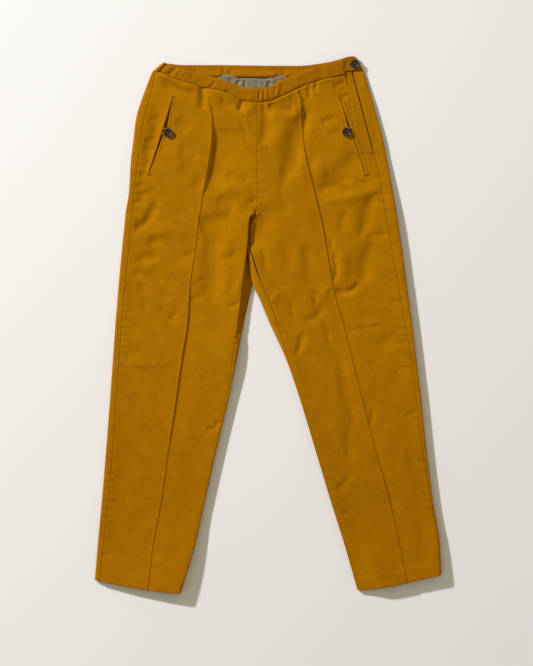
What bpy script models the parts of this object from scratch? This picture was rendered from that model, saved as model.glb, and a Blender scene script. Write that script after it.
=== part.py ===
"""Child's moleskin trousers laid flat, front up: each cut-and-sewn piece is one closed wall of cloth.

Frame: metres, +Z up. The trousers lie on z = 0, the waist towards +Y and the hems towards -Y, so the
wearer's right leg lies at -X. The tables are in millimetres: "down" is measured from the top of the
waist tab towards the hems, "across" from the middle of the whole garment towards +X.
"""
import math

import bmesh
import bpy
import numpy as np

MM = 0.001

# Driving sizes, in millimetres.
LENGTH = 715.0            # top of the waist tab to the lowest hem
SEAM_GAP = 0.3            # between two pieces that are sewn together
CLOTH = 2.0               # moleskin with its pile and seam allowances
BAND_CLOTH = 2.2          # waistband, two layers
HEM_CLOTH = 3.0           # turned-up hem
HEM_DEPTH = 19.0
TAB_CLOTH = 1.8
WELT_CLOTH = 1.0
LOOP_CLOTH = 1.2
LINING_CLOTH = 1.0
FOLD_HEIGHT = 7.9         # the garment's height over its side folds
FOLD_REACH = 5.0          # how far in from its edge a side fold rolls over
INNER_REACH = 4.6         # the same on the insides of the legs, more where the in-seam lies further in
FOLD_SOFT = 12.0          # how far the extra height of a fold spreads onto the front
CREASE_FADE = 14.0        # how far from a side fold the front's creases start
CROTCH = 207.0            # down to the point where the four panels meet
CROTCH_RADIUS = FOLD_HEIGHT / 2
CENTRE_SEAM = -14.3       # across, at the waist
CROTCH_REACH = 6.0        # how far from the crotch seam the panels bend to it
SIDE_OPENING = 126.0      # down to the end of the opening on the wearer's left
SLIT_EXTRA = 0.55         # each edge of the side opening stands back this much more
TUCK_HEIGHT = 1.1         # stitched pintuck down the front of each leg
TUCK_HALF = 1.0
TUCK_CLEAR = (4.0, 6.0)   # plain cloth kept beside the pintuck, towards the out-seam and the in-seam
BUTTON_RADIUS = 5.75      # 18 line
BUTTON_THICK = 2.3
BUTTON_DISH = 0.7         # depth of the dish inside the rim
THREAD_HOLE_RADIUS = 0.6
THREAD_HOLE_OFF = 1.45    # from the button's middle

CORD_BROWN = (0.045, 0.022, 0.016)
MUSTARD = (0.376, 0.147, 0.003)
GREY_GREEN = (0.270, 0.250, 0.175)

# How high the garment stands over its side folds and on the front between them.
HEIGHT_COLUMNS = ("down", "fold", "crown")
HEIGHTS = (
    (0, 6.4, 6.4),
    (25, 6.4, 6.6),
    (80, FOLD_HEIGHT, 7.1),
    (640, FOLD_HEIGHT, 7.0),
    (700, FOLD_HEIGHT, 7.6),
)

# One row for each level of a leg, across: the outer fold, the out-seam inside it, the pintuck, the
# in-seam (above the crotch the centre front seam) and the inner fold, which is where the legs part.
LEG_COLUMNS = ("down", "outer_fold", "out_seam", "pintuck", "in_seam", "inner_fold")
RIGHT_LEG = (
    (20, -153.5, -149.0, -82.5, -14.3, -14.3),
    (40, -161.5, -153.2, -82.5, -14.3, -14.3),
    (62, -169.5, -158.7, -78.2, -14.3, -14.3),
    (83, -175.5, -164.0, -74.8, -14.2, -14.2),
    (111, -179.0, -168.3, -75.6, -13.8, -13.8),
    (140, -182.5, -172.5, -79.3, -13.4, -13.4),
    (180, -184.8, -176.8, -86.6, -13.2, -13.2),
    (207, -189.2, -179.3, -90.2, -15.3, -15.3),
    (214, -190.0, -180.0, -91.8, -23.4, -18.2),
    (225, -191.0, -181.1, -93.4, -25.3, -23.7),
    (250, -193.6, -183.8, -96.0, -26.8, -25.0),
    (275, -196.0, -186.4, -99.8, -30.0, -23.3),
    (302, -198.5, -189.0, -103.4, -33.0, -20.5),
    (325, -200.4, -191.4, -105.4, -35.9, -25.2),
    (352, -202.6, -193.6, -107.2, -39.4, -31.0),
    (405, -206.4, -197.4, -115.3, -46.5, -41.3),
    (460, -210.4, -201.0, -123.1, -55.8, -52.8),
    (510, -214.2, -204.7, -130.8, -66.6, -64.8),
    (590, -220.9, -211.6, -142.1, -85.0, -83.0),
    (650, -226.4, -218.3, -153.0, -98.2, -96.2),
    (715, -232.0, -225.1, -161.3, -117.8, -115.8),
)
LEFT_LEG = (
    (20, 128.0, 112.2, 38.2, -14.3, -14.3),
    (40, 134.0, 117.5, 38.6, -14.3, -14.3),
    (62, 140.2, 123.3, 43.4, -14.3, -14.3),
    (83, 146.0, 128.9, 44.2, -14.2, -14.2),
    (111, 153.6, 136.4, 46.0, -13.8, -13.8),
    (140, 159.2, 144.1, 51.3, -13.4, -13.4),
    (180, 166.6, 152.5, 61.3, -13.2, -13.2),
    (207, 171.2, 156.8, 67.8, -15.3, -15.3),
    (214, 172.3, 158.1, 69.6, -17.6, -18.2),
    (225, 174.0, 159.9, 72.0, -23.0, -23.7),
    (250, 177.7, 164.3, 76.4, -23.6, -25.0),
    (275, 181.1, 168.7, 80.9, -17.0, -23.3),
    (302, 184.8, 173.3, 85.6, -8.0, -20.3),
    (325, 187.8, 177.2, 90.4, 2.0, -10.1),
    (352, 191.6, 182.1, 98.8, 11.6, 1.0),
    (405, 198.0, 191.6, 112.1, 28.4, 24.9),
    (460, 204.5, 198.3, 125.9, 45.8, 43.8),
    (510, 209.6, 204.4, 138.4, 60.8, 59.0),
    (590, 219.6, 217.4, 160.8, 84.9, 83.0),
    (650, 229.0, 227.2, 174.3, 103.8, 101.9),
    (715, 231.8, 230.2, 187.1, 122.8, 120.6),
)

# The seam between the front waistband and the front panels, which dips in the middle.
SEAM_COLUMNS = ("across", "down")
BAND_SEAM = (
    (-151.0, 20.6),
    (-135.5, 26.6),
    (-115.0, 33.2),
    (-90.0, 41.2),
    (-68.0, 44.4),
    (-50.0, 50.6),
    (-33.0, 58.6),
    (-14.3, 61.8),
    (2.0, 60.2),
    (19.5, 53.2),
    (44.0, 41.6),
    (70.5, 32.0),
    (101.0, 24.0),
    (103.2, 23.4),
    (104.6, 20.8),
    (112.5, 20.4),
)
# The seam between the back waistband and the back panels, along the floor.
BACK_SEAM = (
    (-153.2, 19.6),
    (-143.5, 22.4),
    (-113.0, 26.8),
    (-70.0, 27.3),
    (-14.3, 27.8),
    (40.0, 27.3),
    (78.0, 24.9),
    (104.0, 21.6),
    (128.2, 19.6),
)
BACK_SEAM_ENDS = {"right": (-149.0, 21.0), "left": (112.2, 20.0)}    # on the front, past the folds

# The hems: across the silhouette of each leg, and how far down they reach.
RIGHT_HEM = (
    (-231.8, 698.0),
    (-207.0, 702.4),
    (-182.0, 707.4),
    (-150.5, 711.8),
    (-128.0, 714.2),
    (-115.8, LENGTH),
)
LEFT_HEM = (
    (120.6, 711.6),
    (139.0, 709.6),
    (153.5, 707.4),
    (170.0, 704.6),
    (197.0, 698.2),
    (214.0, 694.2),
    (231.8, 690.4),
)

# Stations along the front waistband: the ends of each cross line, top and lower edge, and its height.
BAND_COLUMNS = ("top_across", "top_down", "low_across", "low_down", "height")
FRONT_BAND = (
    (-137.0, 10.4, -147.5, 22.0, 6.3),
    (-126.0, 14.0, -135.5, 26.6, 6.9),
    (-105.0, 19.0, -112.0, 34.2, 7.2),
    (-81.0, 25.6, -88.0, 41.5, 7.2),
    (-64.0, 29.8, -66.0, 44.9, 7.4),
    (-47.5, 35.8, -50.0, 50.6, 7.4),
    (-33.0, 40.7, -33.0, 58.6, 7.4),
    (-17.8, 42.8, -15.0, 61.8, 7.4),
    (-0.7, 41.3, 2.0, 60.2, 7.4),
    (15.0, 33.0, 19.5, 53.2, 7.4),
    (38.2, 23.7, 44.0, 41.6, 7.4),
    (65.4, 13.4, 70.5, 32.0, 7.5),
    (90.0, 6.2, 94.5, 25.5, 8.0),
    (102.4, 2.0, 103.0, 23.5, 8.3),
)
# The back waistband lies under it, inside face up. These are its stations along the floor.
BACK_BAND = (
    (-132.0, 9.6, -143.5, 22.4, 0.0),
    (-110.0, 11.4, -113.0, 26.8, 0.0),
    (-70.0, 11.4, -70.0, 27.3, 0.0),
    (-20.0, 12.0, -14.3, 27.8, 0.0),
    (40.0, 12.4, 40.0, 27.3, 0.0),
    (76.0, 8.4, 78.0, 24.9, 0.0),
    (98.0, 3.2, 104.0, 21.6, 0.0),
    (109.0, 1.0, 120.0, 20.0, 0.0),
)
BACK_BAND_FOLD = 6.4      # height of the waistband over its side folds
RIGHT_BAND_FOLD = (-139.6, 8.2, -153.2, 19.6)    # the fold line: top across, down, low across, down
LEFT_BAND_FOLD = (116.6, 0.6, 128.2, 19.6)
RIGHT_BAND_END = (-137.3, 10.0, -147.8, 21.6)    # where it meets the front waistband
LEFT_BAND_END = (104.6, 1.6, 105.6, 19.6)        # the underlap, hidden by the tab

# Gathers of the elastic: where they lie across the front waistband, their pitch and height.
GATHER_COLUMNS = ("from_across", "to_across", "pitch", "height")
GATHERS = (
    (-134.0, -119.0, 4.6, 0.45),
    (-84.0, -70.0, 9.0, 0.50),
    (-20.0, 12.0, 4.8, 0.50),
)

# Grey lining inside the back waist: the span that shows below the back waistband.
LINING_COLUMNS = ("across", "top_down", "low_down")
LINING = (
    (-84.0, 28.0, 46.0),
    (-50.0, 28.2, 50.0),
    (-10.0, 28.6, 52.0),
    (30.0, 28.2, 46.0),
    (52.0, 27.6, 40.0),
)
LINING_PITCH = 11.0
LINING_WAVE = 0.45

# The waist tab over the side opening: its edges from the waistband's end to its tip.
TAB_COLUMNS = ("across", "top_down", "low_down")
TAB = (
    (103.3, 1.2, 20.2),
    (108.0, 0.6, 20.2),
    (112.5, 0.0, 19.9),
    (116.0, 0.6, 18.9),
    (119.0, 3.2, 17.6),
    (121.4, 7.2, 15.8),
    (122.8, 10.2, 13.6),
)
WAIST_BUTTON = (115.8, 10.5)

# Slanted jetted pockets: the mouth's ends, the welts' widths, and the button's place beside it.
POCKET_COLUMNS = ("name", "top_across", "top_down", "low_across", "low_down", "button_across",
                  "button_down")
POCKETS = (
    ("right", -125.4, 54.0, -158.6, 158.0, -132.6, 102.2),
    ("left", 96.6, 57.0, 130.6, 158.4, 104.8, 101.4),
)
OUTER_WELT = 4.6
INNER_WELT = 3.2
MOUTH_HALF = 0.8
MOUTH_GAPE = 0.9          # extra opening above the button
LOOP_ROOT = 0.6           # the loop's ends, this far beyond the mouth's middle
LOOP_RADIUS = 4.3
LOOP_WIDTH = 2.2

# Main folds of the front panels: a soft trough (or ridge) from one point to another.
DEEPEST_FOLD = -1.9
HIGHEST_FOLD = 0.8
FOLD_COLUMNS = ("from_across", "from_down", "to_across", "to_down", "half_width", "height")
FOLDS = (
    (-87.5, 44.0, -91.0, 70.0, 5.0, -1.3),
    (-70.0, 70.0, -68.5, 100.0, 5.0, -1.5),
    (-68.5, 100.0, -75.0, 145.0, 5.5, -1.7),
    (-75.0, 145.0, -82.5, 180.0, 5.0, -1.2),
    (-37.0, 60.0, -40.0, 74.0, 5.0, -1.1),
    (-4.0, 66.0, -5.5, 100.0, 5.0, -0.8),
    (41.5, 90.0, 19.0, 132.0, 10.0, -1.2),
    (19.0, 132.0, 6.0, 162.0, 11.0, -1.3),
    (44.0, 52.0, 50.0, 100.0, 5.0, -1.4),
    (68.0, 178.0, 106.0, 178.0, 6.0, -0.9),
    (-166.0, 204.0, -168.0, 222.0, 6.0, -1.0),
    (-90.0, 213.0, -53.0, 210.0, 9.0, -1.2),
    (-50.0, 184.0, -18.0, 194.0, 9.0, 0.7),
    (-154.0, 245.0, -128.0, 262.0, 7.0, -0.9),
    (-128.0, 262.0, -100.0, 262.0, 7.0, -0.9),
    (134.0, 250.0, 117.5, 294.0, 8.0, -1.3),
    (117.5, 294.0, 94.0, 312.0, 7.0, -1.3),
    (122.5, 205.0, 122.5, 236.0, 8.0, -0.7),
    (51.0, 274.0, 66.0, 312.0, 8.0, -0.8),
    (66.0, 312.0, 62.0, 348.0, 8.0, -0.8),
    (76.0, 368.0, 97.0, 455.0, 9.0, -1.1),
    (97.0, 438.0, 113.0, 508.0, 9.0, -1.1),
    (116.0, 545.0, 88.0, 575.0, 8.0, -1.0),
    (-190.0, 420.0, -150.0, 432.0, 10.0, -0.7),
    (-110.0, 560.0, -90.0, 580.0, 9.0, -0.6),
)

# Where the grid lines of a front panel run, as shares of the way between its seams and the pintuck.
SHARES_TO_TUCK = (0.0, 0.04, 0.17, 0.42, 0.70, 0.93)
SHARES_FROM_TUCK = (0.08, 0.32, 0.58, 0.82, 0.955, 1.0)
TUCK_LINES = (-1.5, -0.5, 0.5, 1.5)
FRONT_LINES = (*(("to", s) for s in SHARES_TO_TUCK), *(("tuck", t) for t in TUCK_LINES),
               *(("from", s) for s in SHARES_FROM_TUCK))
FRONT_ROWS = {"torso": 21, "leg": 20}
BACK_ROWS = {"torso": 11, "leg": 20}
CROTCH_ROWS = (2.5, 6.5, 11.0, 18.0, 30.0, 43.0)  # below the crotch, before the even rows
CROTCH_TURN = (0.0, 30.0, 60.0, 90.0)             # degrees round the crotch's own small fold
HEM_BACK = 0.8                                    # the back's hem lies this much higher
THIN_STRIP = 0.8                                  # least width of back panel beside an inner fold

# The grid lines of a back panel: from the out-seam over its fold, along the floor, over the inner fold.
BACK_LINES = (
    ("outer_top", 0.0), ("outer_top", 0.45), ("outer_top", 0.75), ("outer_top", 1.0),
    ("outer_low", 35.0), ("outer_low", 65.0), ("outer_low", 90.0),
    ("flat", 0.33), ("flat", 0.67),
    ("inner_low", 90.0), ("inner_low", 60.0), ("inner_low", 30.0), ("inner_low", 0.0),
    ("inner_top", 0.35), ("inner_top", 0.7), ("inner_top", 1.0),
)
FLOOR_LINES = (("outer_low", 90.0), ("flat", 0.33), ("flat", 0.67), ("inner_low", 90.0))


# ---------------------------------------------------------------- reading the tables
def column(table, columns, name):
    return np.array([row[columns.index(name)] for row in table], float)


def slopes(xs, ys):
    """Slopes for a smooth curve through the points that never overshoots them."""
    steps = np.diff(ys) / np.diff(xs)
    inner = np.zeros(len(xs) - 2)
    same_way = steps[:-1] * steps[1:] > 0
    inner[same_way] = 2 * steps[:-1][same_way] * steps[1:][same_way] / (steps[:-1] + steps[1:])[same_way]
    return np.concatenate(([steps[0]], inner, [steps[-1]]))


def smooth(xs, ys, x):
    """The smooth curve through (xs, ys) at x. Past the ends it goes on straight."""
    m = slopes(xs, ys)
    k = np.clip(np.searchsorted(xs, x) - 1, 0, len(xs) - 2)
    h = xs[k + 1] - xs[k]
    t = np.clip((x - xs[k]) / h, 0, 1)
    a = ys[k] * (1 + 2 * t) * (1 - t) ** 2 + ys[k + 1] * t * t * (3 - 2 * t)
    b = h * (m[k] * t * (1 - t) ** 2 - m[k + 1] * t * t * (1 - t))
    past = np.where(x < xs[0], (x - xs[0]) * m[0], np.where(x > xs[-1], (x - xs[-1]) * m[-1], 0.0))
    return a + b + past


def read(table, columns, key, name, at):
    """Column `name` of a table, read smoothly where column `key` is `at`."""
    return smooth(column(table, columns, key), column(table, columns, name), np.asarray(at, float))


def level(table, name, down):
    """Where an edge or seam of a leg lies across, at a level down."""
    return read(table, LEG_COLUMNS, "down", name, down)


def ease(t):
    t = np.clip(t, 0, 1)
    return t * t * (3 - 2 * t)


def along(n, start, end):
    return np.linspace(start, end, n)


# ---------------------------------------------------------------- the cloth's surface
def folds(across, down):
    """Height that the main folds add to the front of the garment."""
    total = np.zeros(np.shape(across))
    for x0, y0, x1, y1, half, height in FOLDS:
        run = np.array([x1 - x0, y1 - y0])
        share = np.clip(((across - x0) * run[0] + (down - y0) * run[1]) / np.dot(run, run), 0, 1)
        off = np.hypot(across - x0 - share * run[0], down - y0 - share * run[1])
        total = total + height * np.exp(-(off / half) ** 2)
    return np.clip(total, DEEPEST_FOLD, HIGHEST_FOLD)


def roll(distance, reach):
    """How far up its fold the cloth is, 0 at the outermost edge and 1 where it lies flat."""
    return np.sqrt(np.clip(1 - (1 - np.clip(distance / reach, 0, 1)) ** 2, 0, 1))


def on_leg(down):
    """True below the row of points that lies on the crotch itself."""
    return down > CROTCH + CROTCH_ROWS[0] / 2


def inner_reach(table, down):
    """How far in from its edge a leg's inner fold rolls over: a little past the back's strip."""
    strip = np.abs(level(table, "in_seam", down) - level(table, "inner_fold", down))
    return np.maximum(INNER_REACH, 1.15 * strip)


def back_strip(table, down):
    """How wide a strip of the back panel shows beside the leg's inner fold."""
    strip = np.abs(level(table, "in_seam", down) - level(table, "inner_fold", down))
    return np.where(on_leg(down), np.maximum(strip, THIN_STRIP), 0.0)


def crotch_turn(down):
    """0 above the crotch's own fold, growing to 1 at the crotch point, as a quarter turn does."""
    before = np.clip((CROTCH - down) / CROTCH_RADIUS, 0, 1)
    return 1 - np.sqrt(1 - (1 - before) ** 2)


def height_of(name, down):
    """A column of the height table, level past its ends."""
    return read(HEIGHTS, HEIGHT_COLUMNS, "down", name, np.clip(down, HEIGHTS[0][0], HEIGHTS[-1][0]))


def top(table, across, down, with_folds=True):
    """Height of the cloth on the upper side, from fold edge to fold edge."""
    fold = height_of("fold", down)
    crown = height_of("crown", down)
    middle = fold / 2
    outer = np.abs(across - level(table, "outer_fold", down))
    inner = np.abs(across - level(table, "inner_fold", down))
    leg = on_leg(down)
    reach = inner_reach(table, down)
    by_crotch = np.clip(1 - inner / CROTCH_REACH, 0, 1) ** 1.5
    turned = np.where(leg, roll(inner, reach), 1 - crotch_turn(down) * by_crotch)
    near = np.exp(-(np.maximum(outer - FOLD_REACH, 0) / FOLD_SOFT) ** 2)
    near = near + np.where(leg, np.exp(-(np.maximum(inner - reach, 0) / FOLD_SOFT) ** 2), 0)
    height = crown + (fold - crown) * np.minimum(near, 1)
    if with_folds:
        clear = ease(outer / CREASE_FADE) * np.where(leg, ease(inner / CREASE_FADE), 1)
        height = height + folds(across, down) * clear
    return middle + (height - middle) * roll(outer, FOLD_REACH) * turned


def top_normal(table, across, down):
    """Which way the upper cloth faces: up, and outwards where it rolls over a fold."""
    radius = height_of("fold", down) / 2
    reach = inner_reach(table, down)
    outer_across = level(table, "outer_fold", down)
    inner_across = level(table, "inner_fold", down)
    away = np.sign(outer_across - inner_across)
    outer = np.clip(1 - np.abs(across - outer_across) / FOLD_REACH, 0, 1)
    inner = np.clip(1 - np.abs(across - inner_across) / reach, 0, 1) * on_leg(down)
    near = np.clip(1 - np.abs(across - inner_across) / CROTCH_REACH, 0, 1) * ~on_leg(down)
    level_part = 1 - crotch_turn(down)
    sideways = away * (outer / FOLD_REACH - inner / reach) * radius
    upwards = np.sqrt(1 - np.clip(np.maximum(outer, inner), 0, 0.9999) ** 2)
    upwards = upwards * (1 - near * (1 - level_part))
    return normalised(sideways, -near * np.sqrt(1 - level_part ** 2), upwards)


def normalised(x, y, z):
    n = np.stack(np.broadcast_arrays(x, y, z), axis=-1).astype(float)
    return n / np.linalg.norm(n, axis=-1, keepdims=True)


# ---------------------------------------------------------------- making pieces
def material(name, colour, roughness):
    made = bpy.data.materials.new(name)
    made.use_nodes = True
    shader = made.node_tree.nodes["Principled BSDF"]
    shader.inputs["Base Color"].default_value = (*colour, 1)
    shader.inputs["Roughness"].default_value = roughness
    shader.inputs["Metallic"].default_value = 0.0
    return made


def add_piece(name, mesh_or_bm, colour, roughness, collection):
    mesh = bpy.data.meshes.new(name)
    mesh_or_bm.to_mesh(mesh)
    mesh_or_bm.free()
    piece = bpy.data.objects.new(name, mesh)
    mesh.materials.append(material(name, colour, roughness))
    collection.objects.link(piece)
    return piece


def wall(name, outer, inner, colour, collection, roughness=0.9):
    """A closed wall of cloth between two grids of points (rows, lines, xyz in mm)."""
    rows, lines = outer.shape[:2]
    bm = bmesh.new()
    bmesh.ops.create_grid(bm, x_segments=lines - 1, y_segments=rows - 1, size=0.5)
    bm.verts.ensure_lookup_table()
    order = sorted(bm.verts, key=lambda v: (round(v.co.y * 4 * rows), round(v.co.x * 4 * lines)))
    copy = bmesh.ops.duplicate(bm, geom=bm.verts[:] + bm.edges[:] + bm.faces[:])
    under = [copy["vert_map"][v] for v in order]
    for vert, point in zip(order, outer.reshape(-1, 3)):
        vert.co = (point[0] * MM, (LENGTH / 2 - point[1]) * MM, point[2] * MM)
    for vert, point in zip(under, inner.reshape(-1, 3)):
        vert.co = (point[0] * MM, (LENGTH / 2 - point[1]) * MM, point[2] * MM)
    rim = [edge for edge in bm.edges if edge.is_boundary]
    bmesh.ops.bridge_loops(bm, edges=rim)
    bmesh.ops.recalc_face_normals(bm, faces=bm.faces[:])
    return add_piece(name, bm, colour, roughness, collection)


def points(across, down, height):
    return np.stack(np.broadcast_arrays(across, down, height), axis=-1).astype(float)


def inwards(outer, normal, thickness):
    """The wall's inner grid. Tables run down the garment, so the normal's Y counts backwards there."""
    turned = normal * np.array([1.0, -1.0, 1.0])
    return outer - turned * np.asarray(thickness)[..., None]


def panel_levels(rows, first, last):
    """How far down each row crosses the inner seam: even rows, with close ones round the crotch."""
    torso = along(rows["torso"], first, CROTCH - CROTCH_RADIUS)[:-1]
    turn = [CROTCH - CROTCH_RADIUS * (1 - math.sin(math.radians(a))) for a in CROTCH_TURN]
    close = [CROTCH + d for d in CROTCH_ROWS]
    leg = along(rows["leg"], close[-1], last)[1:]
    return np.concatenate((torso, turn, close, leg))


def hem_thickness(down, hem):
    """The wall's thickness, with the turned-up hem on the inside."""
    return CLOTH + (HEM_CLOTH - CLOTH) * ease((down - (hem - HEM_DEPTH)) / 2.0)


def front_panel(name, table, hem, slit, collection):
    """A front panel from out-seam to centre and in-seam, with its pintuck, folds and turned-up hem."""
    share_down = seam_share(table, hem, FRONT_ROWS)
    grid_across, grid_down, lift = [], [], []
    for kind, value in FRONT_LINES:
        _, first, _, last = line_ends(table, hem, kind, value, slit)
        down = first + (last - first) * share_down
        grid_down.append(down)
        grid_across.append(line_across(table, kind, value, down, slit))
        lift.append(np.full(len(down), TUCK_HEIGHT if kind == "tuck" and abs(value) < TUCK_HALF else 0.0))
    across, down, lift = (np.array(g).T for g in (grid_across, grid_down, lift))
    smooth_top = points(across, down, top(table, across, down))
    outer = smooth_top + points(0 * across, 0 * across, lift)
    thickness = hem_thickness(down, down[-1:])
    inner = inwards(smooth_top, top_normal(table, across, down), thickness)
    return wall(name, outer, inner, MUSTARD, collection)


def line_ends(table, hem, kind, value, slit):
    """Where a grid line of a front panel starts under the waistband and ends at the hem."""
    first, last = 30.0, 705.0
    for _ in range(5):
        top_across = float(line_across(table, kind, value, first, slit))
        low_across = float(line_across(table, kind, value, last, slit))
        first = float(read(BAND_SEAM, SEAM_COLUMNS, "across", "down", top_across)) + SEAM_GAP
        last = float(read(hem, SEAM_COLUMNS, "across", "down", low_across))
    return top_across, first, low_across, last


def side_of(table):
    """+1 for the wearer's left, whose out-seam lies towards +X, and -1 for the right."""
    return float(np.sign(table[0][LEG_COLUMNS.index("outer_fold")]))


def line_across(table, kind, value, down, slit):
    """Where a grid line of a front panel lies at a level."""
    side = side_of(table)
    stand_back = SEAM_GAP / 2 + (SLIT_EXTRA * ease((slit - down) / 4.0) if slit else 0.0)
    out_seam = level(table, "out_seam", down) - side * stand_back
    in_seam = level(table, "inner_fold", down) + side * (back_strip(table, down) + SEAM_GAP / 2)
    tuck = level(table, "pintuck", down)
    if kind == "tuck":
        return tuck - side * value
    if kind == "to":
        return out_seam + (tuck + side * TUCK_CLEAR[0] - out_seam) * value / SHARES_TO_TUCK[-1]
    start = tuck - side * TUCK_CLEAR[1]
    return start + (in_seam - start) * (value - SHARES_FROM_TUCK[0]) / (1 - SHARES_FROM_TUCK[0])


def back_panel(name, table, hem, slit, collection):
    """A back panel: it lies flat on the floor, and rolls over both folds up to the seams on the front."""
    side = side_of(table)
    seam_top = float(read(BACK_SEAM, SEAM_COLUMNS, "across", "down", CENTRE_SEAM)) + SEAM_GAP
    hem_low = float(read(hem, SEAM_COLUMNS, "across", "down", level(table, "inner_fold", LENGTH)))
    hem_low = hem_low - HEM_BACK
    levels = panel_levels(BACK_ROWS, seam_top, hem_low)
    share_down = seam_share(table, hem, BACK_ROWS)
    outer_lines, normal_lines = [], []
    for kind, value in BACK_LINES:
        down = levels
        if not kind.startswith("inner"):
            _, first, _, last = back_ends(table, hem, side, kind, value, slit)
            blend = share_down if kind.startswith("outer") else (levels - seam_top) / (hem_low - seam_top)
            down = first + (last - first) * blend
        place, normal = back_line(table, side, kind, value, down, slit)
        outer_lines.append(place)
        normal_lines.append(normal)
    outer = np.stack(outer_lines, axis=1)
    normal = np.stack(normal_lines, axis=1)
    thickness = hem_thickness(outer[..., 1], outer[-1:, :, 1])
    inner = inwards(outer, normal, thickness)
    return wall(name, outer, inner, MUSTARD, collection)


def back_ends(table, hem, side, kind, value, slit):
    """Where a grid line of a back panel starts under the waistband and ends at the hem."""
    first, last = 24.0, 700.0
    for _ in range(5):
        ends = back_line(table, side, kind, value, np.array([first, last]), slit)[0]
        first = back_seam(kind, side, ends[0, 0]) + SEAM_GAP
        last = float(read(hem, SEAM_COLUMNS, "across", "down", ends[1, 0])) - HEM_BACK
    return ends[0, 0], first, ends[1, 0], last


def back_seam(kind, side, across):
    """How far down the back waistband's seam lies, on the front past the fold or along the floor."""
    fold = BACK_SEAM[0] if side < 0 else BACK_SEAM[-1]
    end = BACK_SEAM_ENDS["right" if side < 0 else "left"]
    if kind == "outer_top":
        share = np.clip((across - fold[0]) / (end[0] - fold[0]), 0, 1)
        return float(fold[1] + (end[1] - fold[1]) * share)
    return float(read(BACK_SEAM, SEAM_COLUMNS, "across", "down", across))


def seam_share(table, hem, rows):
    """How the rows share out the way down the out-seam, the same on the front and the back."""
    seam_top = float(read(BAND_SEAM, SEAM_COLUMNS, "across", "down", CENTRE_SEAM)) + SEAM_GAP
    hem_low = float(read(hem, SEAM_COLUMNS, "across", "down", level(table, "in_seam", LENGTH)))
    return (panel_levels(rows, seam_top, hem_low) - seam_top) / (hem_low - seam_top)


def back_line(table, side, kind, value, down, slit):
    """One line of points down a back panel, and which way the cloth faces along it."""
    radius = height_of("fold", down) / 2
    outer_fold = level(table, "outer_fold", down)
    inner_fold = level(table, "inner_fold", down) + side * SEAM_GAP / 2
    reach = inner_reach(table, down)
    seam = np.maximum(back_strip(table, down) - SEAM_GAP, 0.0)
    stand_back = SEAM_GAP / 2 + (SLIT_EXTRA * ease((slit - down) / 4.0) if slit else 0.0)
    seam_from_fold = np.maximum(np.abs(level(table, "out_seam", down) - outer_fold) - stand_back, 0.2)
    leg = on_leg(down)
    flat_end = inner_fold + side * np.where(leg, reach, CROTCH_REACH)
    if kind == "outer_top":
        across = outer_fold - side * seam_from_fold * (1 - value) ** 2
        return points(across, down, top(table, across, down, False)), top_normal(table, across, down)
    if kind == "outer_low":
        turn = math.radians(value)
        across = outer_fold - side * FOLD_REACH * (1 - math.cos(turn))
        normal = normalised(side * math.cos(turn) / FOLD_REACH * radius, 0, -math.sin(turn))
        return points(across, down, radius * (1 - math.sin(turn))), normal
    if kind == "flat":
        start = outer_fold - side * FOLD_REACH
        return points(start + (flat_end - start) * value, down, 0.0), normalised(0 * down, 0, -1)
    turned = crotch_turn(down) * ~leg
    if kind == "inner_low":
        turn = math.radians(value)
        share = 1 - value / 90.0 * 0.999
        leg_across = inner_fold + side * reach * (1 - math.cos(turn))
        leg_height = radius * (1 - math.sin(turn))
        leg_normal = normalised(-side * math.cos(turn) / reach * radius, 0, -math.sin(turn))
        share = share * 0.7
    else:
        share = 0.7 + 0.3 * value
        leg_across = inner_fold + side * seam * value ** 2
        leg_height = top(table, leg_across, np.maximum(down, CROTCH + CROTCH_ROWS[0]), False)
        leg_normal = top_normal(table, leg_across, np.maximum(down, CROTCH + CROTCH_ROWS[0]))
    body_across = inner_fold + side * CROTCH_REACH * (1 - share)
    body_height = (radius - SEAM_GAP) * turned * share ** 1.5
    body_normal = normalised(0 * down, -share * np.sqrt(1 - (1 - turned) ** 2), -1 + turned * share)
    across = np.where(leg, leg_across, body_across)
    height = np.where(leg, leg_height, body_height)
    return points(across, down, height), np.where(leg[:, None], leg_normal, body_normal)


# ---------------------------------------------------------------- waistband, tab and lining
def spread(stations, columns, n):
    """More stations along a table, spaced evenly by its middle line."""
    table = np.array(stations, float)
    middle = (table[:, 0:2] + table[:, 2:4]) / 2
    steps = np.hypot(*np.diff(middle, axis=0).T)
    run = np.concatenate(([0], np.cumsum(steps)))
    at = along(n, 0, run[-1])
    return np.stack([smooth(run, table[:, k], at) for k in range(len(columns))], axis=1)


def band_wall(name, stations, normals, shares, thickness, collection):
    """A waistband through its stations: each is a cross line between its top and its lower edge."""
    outer, inner = [], []
    for share in shares:
        soft = 0.35 * (abs(2 * share - 1)) ** 3
        across = stations[:, 0] + (stations[:, 2] - stations[:, 0]) * share
        down = stations[:, 1] + (stations[:, 3] - stations[:, 1]) * share
        line = points(across, down, stations[:, 4])
        outer.append(line - normals * soft)
        inner.append(line - normals * thickness)
    return wall(name, np.stack(outer, axis=1), np.stack(inner, axis=1), MUSTARD, collection)


def gathered(across):
    """Height of the elastic's gathers along the front waistband."""
    total = np.zeros(np.shape(across))
    for start, end, pitch, height in GATHERS:
        inside = ease((across - start) / 3) * ease((end - across) / 3)
        total = total + inside * height * (np.cos(2 * math.pi * (across - start) / pitch) - 0.3)
    return total


def front_tops():
    """The polygon that the tops of both front panels make, which the waistband's edge follows."""
    right = [line_ends(RIGHT_LEG, RIGHT_HEM, kind, value, 0.0)[:2] for kind, value in FRONT_LINES]
    left = [line_ends(LEFT_LEG, LEFT_HEM, kind, value, SIDE_OPENING)[:2] for kind, value in FRONT_LINES]
    ends = np.array(right + left[::-1])
    return ends[:, 0], ends[:, 1]


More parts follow.
